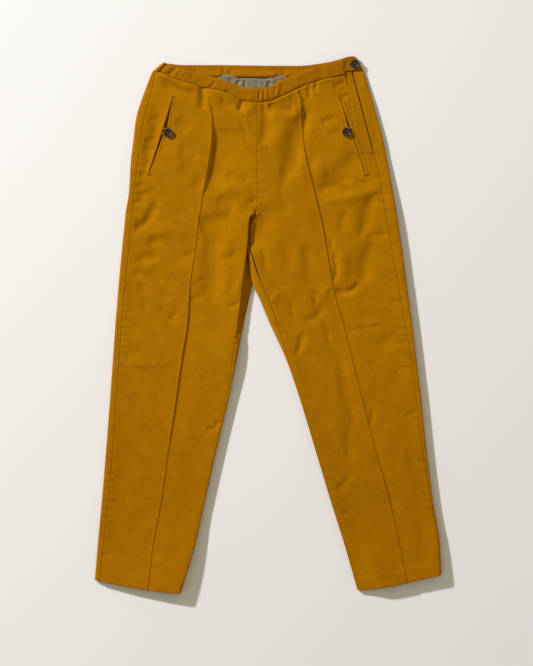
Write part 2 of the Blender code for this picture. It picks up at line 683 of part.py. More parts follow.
def back_tops():
    """The same polygon of the back panels, along the floor."""
    on_floor = [line for line in BACK_LINES if line in FLOOR_LINES]
    right = [back_ends(RIGHT_LEG, RIGHT_HEM, -1.0, kind, value, 0.0)[:2] for kind, value in on_floor]
    left = [back_ends(LEFT_LEG, LEFT_HEM, 1.0, kind, value, SIDE_OPENING)[:2] for kind, value in on_floor]
    ends = np.array(right + left[::-1])
    return ends[:, 0], ends[:, 1]


def front_waistband(collection):
    stations = spread(FRONT_BAND, BAND_COLUMNS, 72)
    stations[:, 3] = np.interp(stations[:, 2], *front_tops()) - SEAM_GAP
    stations[:, 4] += gathered((stations[:, 0] + stations[:, 2]) / 2)
    up = normalised(np.zeros(len(stations)), 0, 1)
    return band_wall("waistband_front", stations, up, (0, 0.15, 0.85, 1), BAND_CLOTH, collection)


def fold_stations(fold, flat, rising, turns):
    """Stations round a side fold of the waistband, between the floor and the front."""
    radius = BACK_BAND_FOLD / 2
    rows = []
    for turn in turns:
        in_from_edge = FOLD_REACH * (1 - math.cos(math.radians(turn)))
        toward = [flat[k] - fold[k] for k in range(4)]
        size = math.hypot((toward[0] + toward[2]) / 2, (toward[1] + toward[3]) / 2)
        place = [fold[k] + toward[k] / size * in_from_edge for k in range(4)]
        rows.append((*place, radius * (1 + rising * math.sin(math.radians(turn)))))
    return rows


def back_waistband(collection):
    """From its end on the wearer's right front, round the fold, across the back and round the left fold."""
    start = (*RIGHT_BAND_END, BACK_BAND_FOLD)
    end = (*LEFT_BAND_END, BACK_BAND_FOLD)
    right = [start] + fold_stations(RIGHT_BAND_FOLD, BACK_BAND[0], 1, (60, 30, 0))
    right += fold_stations(RIGHT_BAND_FOLD, BACK_BAND[0], -1, (30, 60, 90))
    left = fold_stations(LEFT_BAND_FOLD, BACK_BAND[-1], -1, (90, 60, 30, 0))
    left += fold_stations(LEFT_BAND_FOLD, LEFT_BAND_END, 1, (30, 60, 90)) + [end]
    floor = spread(BACK_BAND, BAND_COLUMNS, 26)
    floor[:, 3] = np.interp(floor[:, 2], *back_tops()) - SEAM_GAP
    floor = [tuple(row) for row in floor]
    stations = np.array(right + floor + left)
    middle = (stations[:, 0] + stations[:, 2]) / 2
    run_across = np.gradient(middle)
    run_up = np.gradient(stations[:, 4])
    normals = normalised(run_up, 0, -run_across)
    flat = stations[:, 4] < 0.01
    normals[flat] = (0, 0, -1)
    normals[0] = (0, 0, 1)
    normals[-1] = (0, 0, 1)
    return band_wall("waistband_back", stations, normals, (0, 1 / 3, 2 / 3, 1), BAND_CLOTH, collection)


def back_lining(collection):
    """The gathered lining, laid on the back panels."""
    across = along(29, LINING[0][0], LINING[-1][0])
    first = read(LINING, LINING_COLUMNS, "across", "top_down", across)
    last = read(LINING, LINING_COLUMNS, "across", "low_down", across)
    wave = LINING_WAVE * (1 + np.cos(2 * math.pi * across / LINING_PITCH))
    low = CLOTH + SEAM_GAP
    under = np.stack([points(across, first + (last - first) * s, low) for s in (0, 0.5, 1)], axis=0)
    over = under + np.array([0, 0, LINING_CLOTH])
    over[..., 2] += wave
    return wall("back_lining", over, under, GREY_GREEN, collection)


def waist_tab(collection):
    """The tab, over the underlap, with its turned edges a little lower."""
    across = column(TAB, TAB_COLUMNS, "across")
    first = column(TAB, TAB_COLUMNS, "top_down")
    last = column(TAB, TAB_COLUMNS, "low_down")
    low = BACK_BAND_FOLD + SEAM_GAP
    shares = (0, 0.12, 0.5, 0.88, 1)
    under = np.stack([points(across, first + (last - first) * s, low) for s in shares], axis=0)
    over = under + np.array([0, 0, TAB_CLOTH])
    over[0, :, 2] -= 0.3
    over[-1, :, 2] -= 0.3
    return wall("waist_tab", over, under, MUSTARD, collection)


# ---------------------------------------------------------------- pockets and buttons
class Mouth:
    """The straight mouth of a pocket, with places given along it and off it."""

    def __init__(self, row):
        self.name, self.x0, self.y0, self.x1, self.y1, self.bx, self.by = row
        self.length = math.hypot(self.x1 - self.x0, self.y1 - self.y0)
        self.run = np.array([self.x1 - self.x0, self.y1 - self.y0]) / self.length
        self.table = RIGHT_LEG if self.name == "right" else LEFT_LEG
        towards_middle = 1.0 if self.name == "right" else -1.0
        self.off = np.array([self.run[1], -self.run[0]]) * towards_middle * np.sign(self.run[1])
        self.button_along = float(np.dot((self.bx - self.x0, self.by - self.y0), self.run))

    def place(self, along_mouth, off_mouth):
        """Plan position: off_mouth is positive towards the middle of the garment."""
        across = self.x0 + self.run[0] * along_mouth + self.off[0] * off_mouth
        down = self.y0 + self.run[1] * along_mouth + self.off[1] * off_mouth
        return across, down

    def gape(self, along_mouth):
        near = np.exp(-((along_mouth - self.button_along + 8) / 12) ** 2)
        return MOUTH_HALF + MOUTH_GAPE * near

    def raised(self, across, down, lift):
        return points(across, down, top(self.table, across, down) + lift)


def welt(mouth, label, edges, collection):
    """A strip beside the mouth, laid on the panel's own points."""
    run = along(13, 0.0, mouth.length)
    lines = [mouth.place(run, edge(run) if callable(edge) else edge) for edge in edges]
    under = np.stack([mouth.raised(x, y, SEAM_GAP) for x, y in lines], axis=0)
    over = np.stack([mouth.raised(x, y, SEAM_GAP + WELT_CLOTH) for x, y in lines], axis=0)
    return wall(f"{mouth.name}_pocket_{label}_welt", over, under, MUSTARD, collection)


def pocket(row, panel, collection, cutters):
    mouth = Mouth(row)
    welt(mouth, "outer", (-MOUTH_HALF - OUTER_WELT, -MOUTH_HALF), collection)
    welt(mouth, "inner", (mouth.gape, MOUTH_HALF + INNER_WELT), collection)
    run = along(13, 2.0, mouth.length - 2.0)
    sides = [mouth.place(run, -MOUTH_HALF), mouth.place(run, mouth.gape(run))]
    floor = np.stack([points(x, y, CLOTH + 1.0) for x, y in sides], axis=0)
    roof = np.stack([points(x, y, 12.0) for x, y in sides], axis=0)
    cutter = wall(f"{mouth.name}_mouth_cutter", roof, floor, MUSTARD, cutters)
    cutter.hide_render = True
    cutter.display_type = "WIRE"
    cut = panel.modifiers.new("pocket mouth", "BOOLEAN")
    cut.operation = "DIFFERENCE"
    cut.object = cutter
    loop_height = SEAM_GAP * 2 + WELT_CLOTH
    pocket_loop(mouth, loop_height, collection)
    panel_height = float(top(mouth.table, np.array(mouth.bx), np.array(mouth.by)))
    button_height = panel_height + loop_height + LOOP_CLOTH + SEAM_GAP
    button(f"{mouth.name}_pocket_button", mouth.bx, mouth.by, button_height, collection)


def pocket_loop(mouth, lift, collection):
    """A flat cloth loop from the mouth round the button's stem."""
    centre_off = float(np.dot((mouth.bx - mouth.x0, mouth.by - mouth.y0), mouth.off)) - 1.6
    turns = np.radians(along(13, -90, 90))
    mid_along = np.concatenate(([-1.2], np.sin(turns), [1.2])) * LOOP_RADIUS + mouth.button_along
    mid_off = np.concatenate(([-LOOP_ROOT], np.cos(turns) * LOOP_RADIUS + centre_off, [-LOOP_ROOT]))
    outward_along = np.concatenate(([-1.0], np.sin(turns), [1.0]))
    outward_off = np.concatenate(([0.0], np.cos(turns), [0.0]))
    sides = []
    for half in (-LOOP_WIDTH / 2, LOOP_WIDTH / 2):
        sides.append(mouth.place(mid_along + outward_along * half, mid_off + outward_off * half))
    highest = max(float(np.max(top(mouth.table, x, y))) for x, y in sides)
    under = np.stack([points(x, y, highest + lift) for x, y in sides], axis=0)
    over = under + np.array([0, 0, LOOP_CLOTH])
    return wall(f"{mouth.name}_pocket_loop", over, under, MUSTARD, collection)


def button(name, across, down, height, collection):
    """A turned button with a raised rim and four holes."""
    dish = BUTTON_THICK - BUTTON_DISH
    profile = [
        (0.0, dish),
        (0.66 * BUTTON_RADIUS, dish),
        (0.80 * BUTTON_RADIUS, BUTTON_THICK),
        (0.91 * BUTTON_RADIUS, 0.94 * BUTTON_THICK),
        (BUTTON_RADIUS, 0.61 * BUTTON_THICK),
        (0.95 * BUTTON_RADIUS, 0.22 * BUTTON_THICK),
        (0.72 * BUTTON_RADIUS, 0.0),
        (0.0, 0.0),
    ]
    mesh = bpy.data.meshes.new(name)
    steps = [(k, k + 1) for k in range(len(profile) - 1)]
    mesh.from_pydata([(r * MM, 0, z * MM) for r, z in profile], steps, [])
    made = bpy.data.objects.new(name, mesh)
    mesh.materials.append(material(name, CORD_BROWN, 0.3))
    made.location = (across * MM, (LENGTH / 2 - down) * MM, height * MM)
    collection.objects.link(made)
    turned = made.modifiers.new("turned", "SCREW")
    turned.steps = turned.render_steps = 24
    turned.use_merge_vertices = True
    turned.merge_threshold = 0.00001
    turned.use_smooth_shade = True
    for k in range(4):
        angle = math.radians(45 + 90 * k)
        spot = (across + THREAD_HOLE_OFF * math.cos(angle), down + THREAD_HOLE_OFF * math.sin(angle))
        cut = made.modifiers.new("thread hole", "BOOLEAN")
        cut.operation = "DIFFERENCE"
        cut.object = thread_hole(f"{name}_hole_{k + 1}", spot, height)
    return made


def thread_hole(name, spot, height):
    bm = bmesh.new()
    radius = THREAD_HOLE_RADIUS * MM
    bmesh.ops.create_cone(bm, cap_ends=True, segments=8, radius1=radius, radius2=radius, depth=8 * MM)
    cutter = add_piece(name, bm, CORD_BROWN, 0.5, bpy.data.collections["cutters"])
    cutter.location = (spot[0] * MM, (LENGTH / 2 - spot[1]) * MM, height * MM)
    cutter.hide_render = True
    cutter.display_type = "WIRE"
    return cutter


# ---------------------------------------------------------------- the whole garment
def main():
    for old in list(bpy.data.objects):
        bpy.data.objects.remove(old)
    trousers = bpy.data.collections.new("moleskin_trousers")
    cutters = bpy.data.collections.new("cutters")
    bpy.context.scene.collection.children.link(trousers)
    bpy.context.scene.collection.children.link(cutters)
    right_front = front_panel("right_front", RIGHT_LEG, RIGHT_HEM, 0.0, trousers)
    left_front = front_panel("left_front", LEFT_LEG, LEFT_HEM, SIDE_OPENING, trousers)
    back_panel("right_back", RIGHT_LEG, RIGHT_HEM, 0.0, trousers)
    back_panel("left_back", LEFT_LEG, LEFT_HEM, SIDE_OPENING, trousers)
    front_waistband(trousers)
    back_waistband(trousers)
    waist_tab(trousers)
    back_lining(trousers)
    for row, panel in zip(POCKETS, (right_front, left_front)):
        pocket(row, panel, trousers, cutters)
    tab_top = BACK_BAND_FOLD + SEAM_GAP + TAB_CLOTH
    button("waist_button", *WAIST_BUTTON, tab_top + SEAM_GAP, trousers)


main()
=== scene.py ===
# %% [markdown]
# # A child's moleskin trousers, laid flat
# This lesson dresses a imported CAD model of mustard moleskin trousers, seen from straight above. The CAD walls
# carry the plain form of each cut-and-sewn piece. Here every piece is laid again as a thin sheet of cloth over
# the same form, with its creases, seams, gathers and stitches, and gets the finish of the real one.
#
# Lengths in the tables are millimetres. "down" runs from the top of the waist tab to the hems, and "across"
# from the middle of the garment to the right as one looks at it. The wearer's right leg is on the left.
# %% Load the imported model
import math

import bpy
import numpy as np
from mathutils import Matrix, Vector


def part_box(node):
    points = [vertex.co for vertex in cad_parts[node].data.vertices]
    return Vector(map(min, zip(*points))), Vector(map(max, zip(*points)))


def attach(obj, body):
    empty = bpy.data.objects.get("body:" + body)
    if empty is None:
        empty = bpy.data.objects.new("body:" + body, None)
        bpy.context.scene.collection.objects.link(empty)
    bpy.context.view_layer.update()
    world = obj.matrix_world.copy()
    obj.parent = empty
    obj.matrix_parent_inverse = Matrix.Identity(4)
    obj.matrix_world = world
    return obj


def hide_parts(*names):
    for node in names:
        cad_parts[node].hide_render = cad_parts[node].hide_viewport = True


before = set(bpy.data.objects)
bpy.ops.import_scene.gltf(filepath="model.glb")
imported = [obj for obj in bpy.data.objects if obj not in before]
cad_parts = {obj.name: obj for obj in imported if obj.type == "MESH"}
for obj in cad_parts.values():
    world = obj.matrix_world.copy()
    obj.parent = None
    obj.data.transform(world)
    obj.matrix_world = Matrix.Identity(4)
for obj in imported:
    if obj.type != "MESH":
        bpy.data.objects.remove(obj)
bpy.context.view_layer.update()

MM = 0.001
LENGTH = 715.0                       # top of the waist tab to the lowest hem

# %% [markdown]
# ## The camera
# The garment was photographed from straight above. A long lens 3 m away gives the same nearly parallel view.
# The picture covers 709 by 886 mm of floor, so the lens follows from the sensor's height.
# %% Camera
VIEW_CENTRE = (-0.0017, -0.0109)
VIEW_HEIGHT = 0.8858
CAMERA_ABOVE = 3.0                   # over the top of the cloth
CLOTH_TOP = 0.007
SENSOR_HEIGHT = 36.0
bpy.ops.object.camera_add(location=(*VIEW_CENTRE, CAMERA_ABOVE + CLOTH_TOP), rotation=(0, 0, 0))
camera = bpy.context.object
camera.name = "camera"
camera.data.sensor_fit = "VERTICAL"
camera.data.sensor_height = SENSOR_HEIGHT
camera.data.lens = SENSOR_HEIGHT * CAMERA_ABOVE / VIEW_HEIGHT
bpy.context.scene.camera = camera
print("lens:", round(camera.data.lens, 1), "mm")

# %% [markdown]
# ## Light
# One small, slightly cool lamp stands far off to the upper left, low enough to rake across the nap and throw a
# short shadow to the lower right. An even, warm world gives the rest of the light on the floor.
# %% Lamp and world
SUN_SIDE = np.array([-0.777, 0.629])            # where the light comes from, in plan
LAMP_RISE = math.radians(26.0)
LAMP_AWAY = 4.8
FLOOR_LIGHT = 1.025                             # lamp and world together
KEY_SHARE = 0.60                                # of it that comes from the lamp
lamp_place = (*(SUN_SIDE * LAMP_AWAY * math.cos(LAMP_RISE)), LAMP_AWAY * math.sin(LAMP_RISE))
lamp_turn = (0.0, math.pi / 2 - LAMP_RISE, math.atan2(lamp_place[1], lamp_place[0]))
bpy.ops.object.light_add(type="AREA", location=lamp_place, rotation=lamp_turn)
lamp = bpy.context.object
lamp.name = "key_lamp"
lamp.data.shape = "DISK"
lamp.data.size = 0.31
lamp.data.energy = FLOOR_LIGHT * KEY_SHARE * math.pi ** 2 * LAMP_AWAY ** 2 / math.sin(LAMP_RISE)
lamp.data.color = (0.96, 1.0, 1.10)
world = bpy.data.worlds.new("studio")
world.use_nodes = True
sky = world.node_tree.nodes["Background"]
sky.inputs["Color"].default_value = (1.08, 0.99, 0.79, 1.0)
sky.inputs["Strength"].default_value = FLOOR_LIGHT - KEY_SHARE
bpy.context.scene.world = world
bpy.context.scene.view_settings.view_transform = "Standard"
print("lamp:", round(lamp.data.energy), "W")

# %% [markdown]
# ## Materials
# Moleskin is a heavy cotton whose face is sheared to a very short, dense nap, like suede. It has no shine of its
# own, only a soft sheen at grazing angles, and it looks slightly mottled where the nap lies differently. The
# helpers turn hex colours to linear, add a node with its settings and links, and mix two colours.
# %% Colour and node helpers
def linear(hex_colour):
    values = [int(hex_colour[k:k + 2], 16) / 255 for k in (1, 3, 5)]
    return (*(v / 12.92 if v <= 0.04045 else ((v + 0.055) / 1.055) ** 2.4 for v in values), 1.0)


def add_node(tree, kind, settings=(), links=(), **inputs):
    """A node with its settings, its input values, and links given as (input, node, output)."""
    node = tree.nodes.new("ShaderNode" + kind)
    for name, value in dict(settings).items():
        setattr(node, name, value)
    for name, value in inputs.items():
        node.inputs[name.replace("_", " ")].default_value = value
    for name, source, output in links:
        tree.links.new(source.outputs[output], node.inputs[name])
    return node


def noise(tree, place, output, **inputs):
    return add_node(tree, "TexNoise", links=[("Vector", place, output)], **inputs)


def new_material(name, **shader_values):
    made = bpy.data.materials.new(name)
    made.use_nodes = True
    shader = made.node_tree.nodes["Principled BSDF"]
    for key, value in shader_values.items():
        shader.inputs[key.replace("_", " ")].default_value = value
    return made, made.node_tree, shader


def between(tree, shader, source, output, dark, light):
    """Colours a shader with a mix of two colours, by a node's output."""
    mixed = add_node(tree, "Mix", {"data_type": "RGBA"}, [(0, source, output)])
    mixed.inputs[6].default_value, mixed.inputs[7].default_value = dark, light
    tree.links.new(mixed.outputs[2], shader.inputs["Base Color"])
    return mixed

# %% [markdown]
# The nap's mottling is drawn at two sizes: patches about 15 mm across, and flecks of about 2 mm, stretched down
# the leg because the pile is brushed that way. A fine bump of 0.9 mm stands for the pile itself, which is really
# finer than a pixel. Towards the hems the colour is made a little darker and redder.
# %% Moleskin
def moleskin(name, shade, light, sheen=0.10):
    made, tree, shader = new_material(name, Roughness=0.9, Specular_IOR_Level=0.12, Sheen_Weight=sheen,
                                      Specular_Tint=linear("#d08a08"), Sheen_Roughness=0.45,
                                      Sheen_Tint=linear("#d09210"))
    place = add_node(tree, "TexCoord")
    brushed = add_node(tree, "Mapping", links=[("Vector", place, "Object")], Scale=(0.4, 1.0, 1.0))
    patches = noise(tree, place, "Object", Scale=62.0, Detail=3.0, Roughness=0.55)
    flecks = noise(tree, brushed, "Vector", Scale=520.0, Detail=3.0, Roughness=0.65)
    both = add_node(tree, "Math", {"operation": "MULTIPLY_ADD"}, [(0, flecks, "Fac"), (2, patches, "Fac")])
    both.inputs[1].default_value = 0.9
    spread_out = add_node(tree, "MapRange", links=[("Value", both, 0)], From_Min=0.62, From_Max=1.28)
    mixed = between(tree, shader, spread_out, "Result", linear(shade), linear(light))
    # The base colour is multiplied darker and redder from below the crotch down to the shins, by height along the
    # garment.
    height = add_node(tree, "SeparateXYZ", links=[("Vector", place, "Object")])
    low_leg = add_node(tree, "MapRange", {"interpolation_type": "SMOOTHSTEP"}, [("Value", height, "Y")],
                       From_Min=0.02, From_Max=-0.27)          # from below the crotch to the shin, in metres
    darker_to_hems = add_node(tree, "Mix", {"data_type": "RGBA", "blend_type": "MULTIPLY"},
                       [(0, low_leg, "Result"), (6, mixed, 2)])
    darker_to_hems.inputs[7].default_value = (0.93, 0.88, 0.88, 1.0)
    tree.links.new(darker_to_hems.outputs[2], shader.inputs["Base Color"])
    pile = noise(tree, brushed, "Vector", Scale=1100.0, Detail=2.0, Roughness=0.6)
    rough = add_node(tree, "Bump", links=[("Height", pile, "Fac")], Strength=0.35, Distance=0.0004)
    soft = add_node(tree, "Bump", links=[("Height", patches, "Fac"), ("Normal", rough, "Normal")],
                    Strength=0.25, Distance=0.0010)
    tree.links.new(soft.outputs["Normal"], shader.inputs["Normal"])
    return made


panel_moleskin = moleskin("moleskin_brushed_cotton", "#976103", "#a66e03")
band_moleskin = moleskin("moleskin_doubled_band", "#8e5704", "#9a6305", sheen=0.08)
stitch_thread, _, _ = new_material("polyester_sewing_thread", Base_Color=linear("#8a5805"), Roughness=0.8,
                                   Specular_IOR_Level=0.1)
print("moleskin ready")

# %% [markdown]
# The lining is a plain grey-green woven cotton: two crossed sets of threads, drawn at 0.9 mm, coarser than the
# real 0.4 mm so that it shows. The buttons are horn-like polyester, turned and tumbled to a satin gloss, with
# streaks through the dark brown.
# %% Lining and button materials
def woven_cotton(name):
    made, tree, shader = new_material(name, Roughness=0.92, Specular_IOR_Level=0.2, Sheen_Weight=0.12)
    place = add_node(tree, "TexCoord")
    threads = [add_node(tree, "TexWave", {"bands_direction": way}, [("Vector", place, "Object")],
                        Scale=350.0, Distortion=1.2, Detail=1.0) for way in ("X", "Y")]
    crossed = add_node(tree, "Math", {"operation": "ADD"}, [(0, threads[0], "Fac"), (1, threads[1], "Fac")])
    clouds = noise(tree, place, "Object", Scale=180.0, Detail=3.0)
    tone = add_node(tree, "Math", {"operation": "MULTIPLY_ADD"}, [(0, crossed, 0), (2, clouds, "Fac")])
    tone.inputs[1].default_value = 0.25
    between(tree, shader, tone, 0, linear("#635c45"), linear("#847b63"))
    weave = add_node(tree, "Bump", links=[("Height", crossed, 0)], Strength=0.4, Distance=0.0003)
    tree.links.new(weave.outputs["Normal"], shader.inputs["Normal"])
    return made


def horn(name):
    made, tree, shader = new_material(name, Roughness=0.36, Specular_IOR_Level=0.3, Coat_Weight=0.12,
                                      Coat_Roughness=0.25)
    place = add_node(tree, "TexCoord")
    streaked = add_node(tree, "Mapping", links=[("Vector", place, "Object")], Scale=(1.0, 0.3, 1.0),
                        Rotation=(0.0, 0.0, 0.6))
    grain = noise(tree, streaked, "Vector", Scale=420.0, Detail=4.0, Distortion=0.8)
    between(tree, shader, grain, "Fac", linear("#190d0b"), linear("#3f2a26"))
    return made


lining_cotton = woven_cotton("cotton_plain_weave")
button_horn = horn("horn_like_polyester")
button_thread, _, _ = new_material("button_thread_brown", Base_Color=linear("#4a3018"), Roughness=0.6)
print("lining and buttons ready")

# %% [markdown]
# ## Tables
# A table is plain rows of numbers, parted by commas or line ends, under named columns. A cubic that never
# overshoots runs smoothly through its rows, so a fold line has no kinks.
# %% Reading the tables
def numbers(text):
    return np.array([row.split() for row in text.replace("\n", ",").split(",") if row.strip()], float)


def table(columns, text):
    return dict(zip(columns.split(), numbers(text).T))


def smooth(xs, ys, x):
    steps = np.diff(ys) / np.diff(xs)
    m = np.concatenate(([steps[0]], np.zeros(len(xs) - 2), [steps[-1]]))
    same = steps[:-1] * steps[1:] > 0
    m[1:-1][same] = 2 * (steps[:-1] * steps[1:])[same] / (steps[:-1] + steps[1:])[same]
    k = np.clip(np.searchsorted(xs, x) - 1, 0, len(xs) - 2)
    h = xs[k + 1] - xs[k]
    t = np.clip((x - xs[k]) / h, 0, 1)
    inside = ys[k] * (1 + 2 * t) * (1 - t) ** 2 + ys[k + 1] * t * t * (3 - 2 * t)
    inside = inside + h * (m[k] * t * (1 - t) ** 2 - m[k + 1] * t * t * (1 - t))
    return inside + np.where(x < xs[0], (x - xs[0]) * m[0], np.where(x > xs[-1], (x - xs[-1]) * m[-1], 0.0))


def read(rows, key, name, at):
    return smooth(rows[key], rows[name], np.asarray(at, float))


def level(leg, name, down):
    return read(leg, "down", name, down)


def seam_at(seam, across):
    return read(seam, "across", "down", across)


def height_of(name, down):
    return level(HEIGHTS, name, np.clip(down, HEIGHTS["down"][0], HEIGHTS["down"][-1]))


def ease(t):
    """From 0 to 1 with soft ends."""
    t = np.clip(t, 0, 1)
    return t * t * (3 - 2 * t)


def swell(off, width, power=2):
    """1 in the middle, fading to nothing on both sides."""
    return np.exp(-(off / width) ** power)


def run_along(path):
    """The distance along a line at each of its points."""
    return np.concatenate(([0], np.cumsum(np.linalg.norm(np.diff(path, axis=0), axis=1))))


def soft_line(path, count, by=None):
    """A soft line of many points through a few, spread by its own length or by that of another line."""
    run = run_along(path if by is None else by)
    return np.stack([smooth(run, values, np.linspace(0, run[-1], count)) for values in path.T], axis=1)

# %% [markdown]
# ## The form of the garment
# The same tables as in the CAD give the form, so the cloth lies where its solids are: for each level down a leg
# the outer fold, the out-seam just inside it, the pintuck, the in-seam, and the inner fold where the legs part.
# %% Tables of the form
LEG_COLUMNS = "down outer_fold out_seam pintuck in_seam inner_fold"
RIGHT_LEG = table(LEG_COLUMNS, """
20 -153.5 -149 -82.5 -14.3 -14.3
40 -161.5 -153.2 -82.5 -14.3 -14.3
62 -169.5 -158.7 -78.2 -14.3 -14.3
83 -175.5 -164 -74.8 -14.2 -14.2
111 -179 -168.3 -75.6 -13.8 -13.8
140 -182.5 -172.5 -79.3 -13.4 -13.4
180 -184.8 -176.8 -86.6 -13.2 -13.2
207 -189.2 -179.3 -90.2 -15.3 -15.3
214 -190 -180 -91.8 -23.4 -18.2
225 -191 -181.1 -93.4 -25.3 -23.7
250 -193.6 -183.8 -96 -26.8 -25
275 -196 -186.4 -99.8 -30 -23.3
302 -198.5 -189 -103.4 -33 -20.5
325 -200.4 -191.4 -105.4 -35.9 -25.2
352 -202.6 -193.6 -107.2 -39.4 -31
405 -206.4 -197.4 -115.3 -46.5 -41.3
460 -210.4 -201 -123.1 -55.8 -52.8
510 -214.2 -204.7 -130.8 -66.6 -64.8
590 -220.9 -211.6 -142.1 -85 -83
650 -226.4 -218.3 -153 -98.2 -96.2
715 -232 -225.1 -161.3 -117.8 -115.8
""")
LEFT_LEG = table(LEG_COLUMNS, """
20 128 112.2 38.2 -14.3 -14.3
40 134 117.5 38.6 -14.3 -14.3
62 140.2 123.3 43.4 -14.3 -14.3
83 146 128.9 44.2 -14.2 -14.2
111 153.6 136.4 46 -13.8 -13.8
140 159.2 144.1 51.3 -13.4 -13.4
180 166.6 152.5 61.3 -13.2 -13.2
207 171.2 156.8 67.8 -15.3 -15.3
214 172.3 158.1 69.6 -17.6 -18.2
225 174 159.9 72 -23 -23.7
250 177.7 164.3 76.4 -23.6 -25
275 181.1 168.7 80.9 -17 -23.3
302 184.8 173.3 85.6 -8 -20.3
325 187.8 177.2 90.4 2 -10.1
352 191.6 182.1 98.8 11.6 1
405 198 191.6 112.1 28.4 24.9
460 204.5 198.3 125.9 45.8 43.8
510 209.6 204.4 138.4 60.8 59
590 219.6 217.4 160.8 84.9 83
650 229 227.2 174.3 103.8 101.9
715 231.8 230.2 187.1 122.8 120.6
""")
HEIGHTS = table("down fold crown", "0 6.4 6.4, 25 6.4 6.6, 80 7.9 7.1, 640 7.9 7, 700 7.9 7.6")
BAND_SEAM, BACK_SEAM, RIGHT_HEM, LEFT_HEM = (table("across down", text) for text in ("""
-151 19.4, -134.2 24.4, -132 27.4, -115 32.4, -98 37.6, -88 41.4, -68 44.4, -50 50.6, -33 58.6, -14.3 61.8, 2 60.2
19.5 53.2, 44 41.6, 70.5 32, 101 24, 103.2 23.4, 104.6 20.8, 112.5 20.4
""", """
-153.2 19.6, -143.5 22.4, -113 26.8, -70 27.3, -14.3 27.8, 40 27.3, 78 24.9, 104 21.6, 128.2 19.6
""", """
-231.8 698, -207 702.4, -182 707.4, -150.5 711.8, -128 714.2, -115.8 715
""", """
120.6 711.6, 139 709.6, 153.5 707.4, 170 704.6, 197 698.2, 214 694.2, 231.8 690.4
"""))
BACK_SEAM_ENDS = {-1: (-149.0, 21.0), 1: (112.2, 20.0)}
CROTCH = 207.0
SIDE_OPENING = 126.0
print("leg rows:", len(RIGHT_LEG["down"]), len(LEFT_LEG["down"]))

# %% [markdown]
# ## Creases
# Each main crease is a smooth line with its own depth and a width on either side. The side towards the lamp and
# the side away from it may differ, which makes one flank steep and the other gentle, as in cloth that has been
# folded and shaken out. A row gives the rise (a trough is negative), the width towards the lamp and away from it,
# the share of the line over which each end fades, and the line's points. The line runs along the flank on the
# lamp's side, where the shading is strongest and the eye follows it. The bottom or crest lies a little further on.
# %% Crease helper
def crease_table(text):
    """Rows of rise, near, far and fade, and then the points of the line, each across and down."""
    rows = [[np.array(part.split(), float) for part in line.split(",")] for line in text.strip().splitlines()]
    return [(*row[0], np.array(row[1:])) for row in rows]


def away_from_lamp(line, distance):
    """The line moved sideways, to the side that is away from the lamp."""
    way = np.gradient(line, axis=0)
    sideways = np.stack((way[:, 1], -way[:, 0]), axis=1) / (np.hypot(*way.T)[:, None] + 1e-9)
    if (sideways @ np.array([-SUN_SIDE[0], SUN_SIDE[1]])).sum() < 0:
        sideways = -sideways
    return line + sideways * distance


def creases(rows, across, down):
    """Height that a table of creases adds at each point."""
    total = np.zeros(np.shape(across))
    for rise, near, far, fade, path in rows:
        line = away_from_lamp(soft_line(path, 5 * len(path) - 4), 0.7 * near)
        reach = 2.6 * max(near, far)
        low, high = line.min(axis=0) - reach, line.max(axis=0) + reach
        close = (across > low[0]) & (across < high[0]) & (down > low[1]) & (down < high[1])
        if not close.any():
            continue
        x, y = across[close][:, None], down[close][:, None]
        start, step = line[:-1], np.diff(line, axis=0)
        size = np.hypot(*step.T)
        share = np.clip(((x - start[:, 0]) * step[:, 0] + (y - start[:, 1]) * step[:, 1]) / size ** 2, 0, 1)
        off_x, off_y = x - start[:, 0] - share * step[:, 0], y - start[:, 1] - share * step[:, 1]
        away = np.hypot(off_x, off_y)
        best = np.argmin(away, axis=1)
        nearest = (np.arange(len(best)), best)
        away, off_x, off_y = away[nearest], off_x[nearest], off_y[nearest]
        place = (np.concatenate(([0], np.cumsum(size)))[:-1][best] + share[nearest] * size[best]) / size.sum()
        shade_side = 0.5 + 0.5 * (off_x * -SUN_SIDE[0] + off_y * SUN_SIDE[1]) / (away + 1e-6)
        width = near + (far - near) * shade_side
        taper = ease(place / fade) * ease((1 - place) / fade)
        total[close] += rise * taper * swell(away, width)
    return total

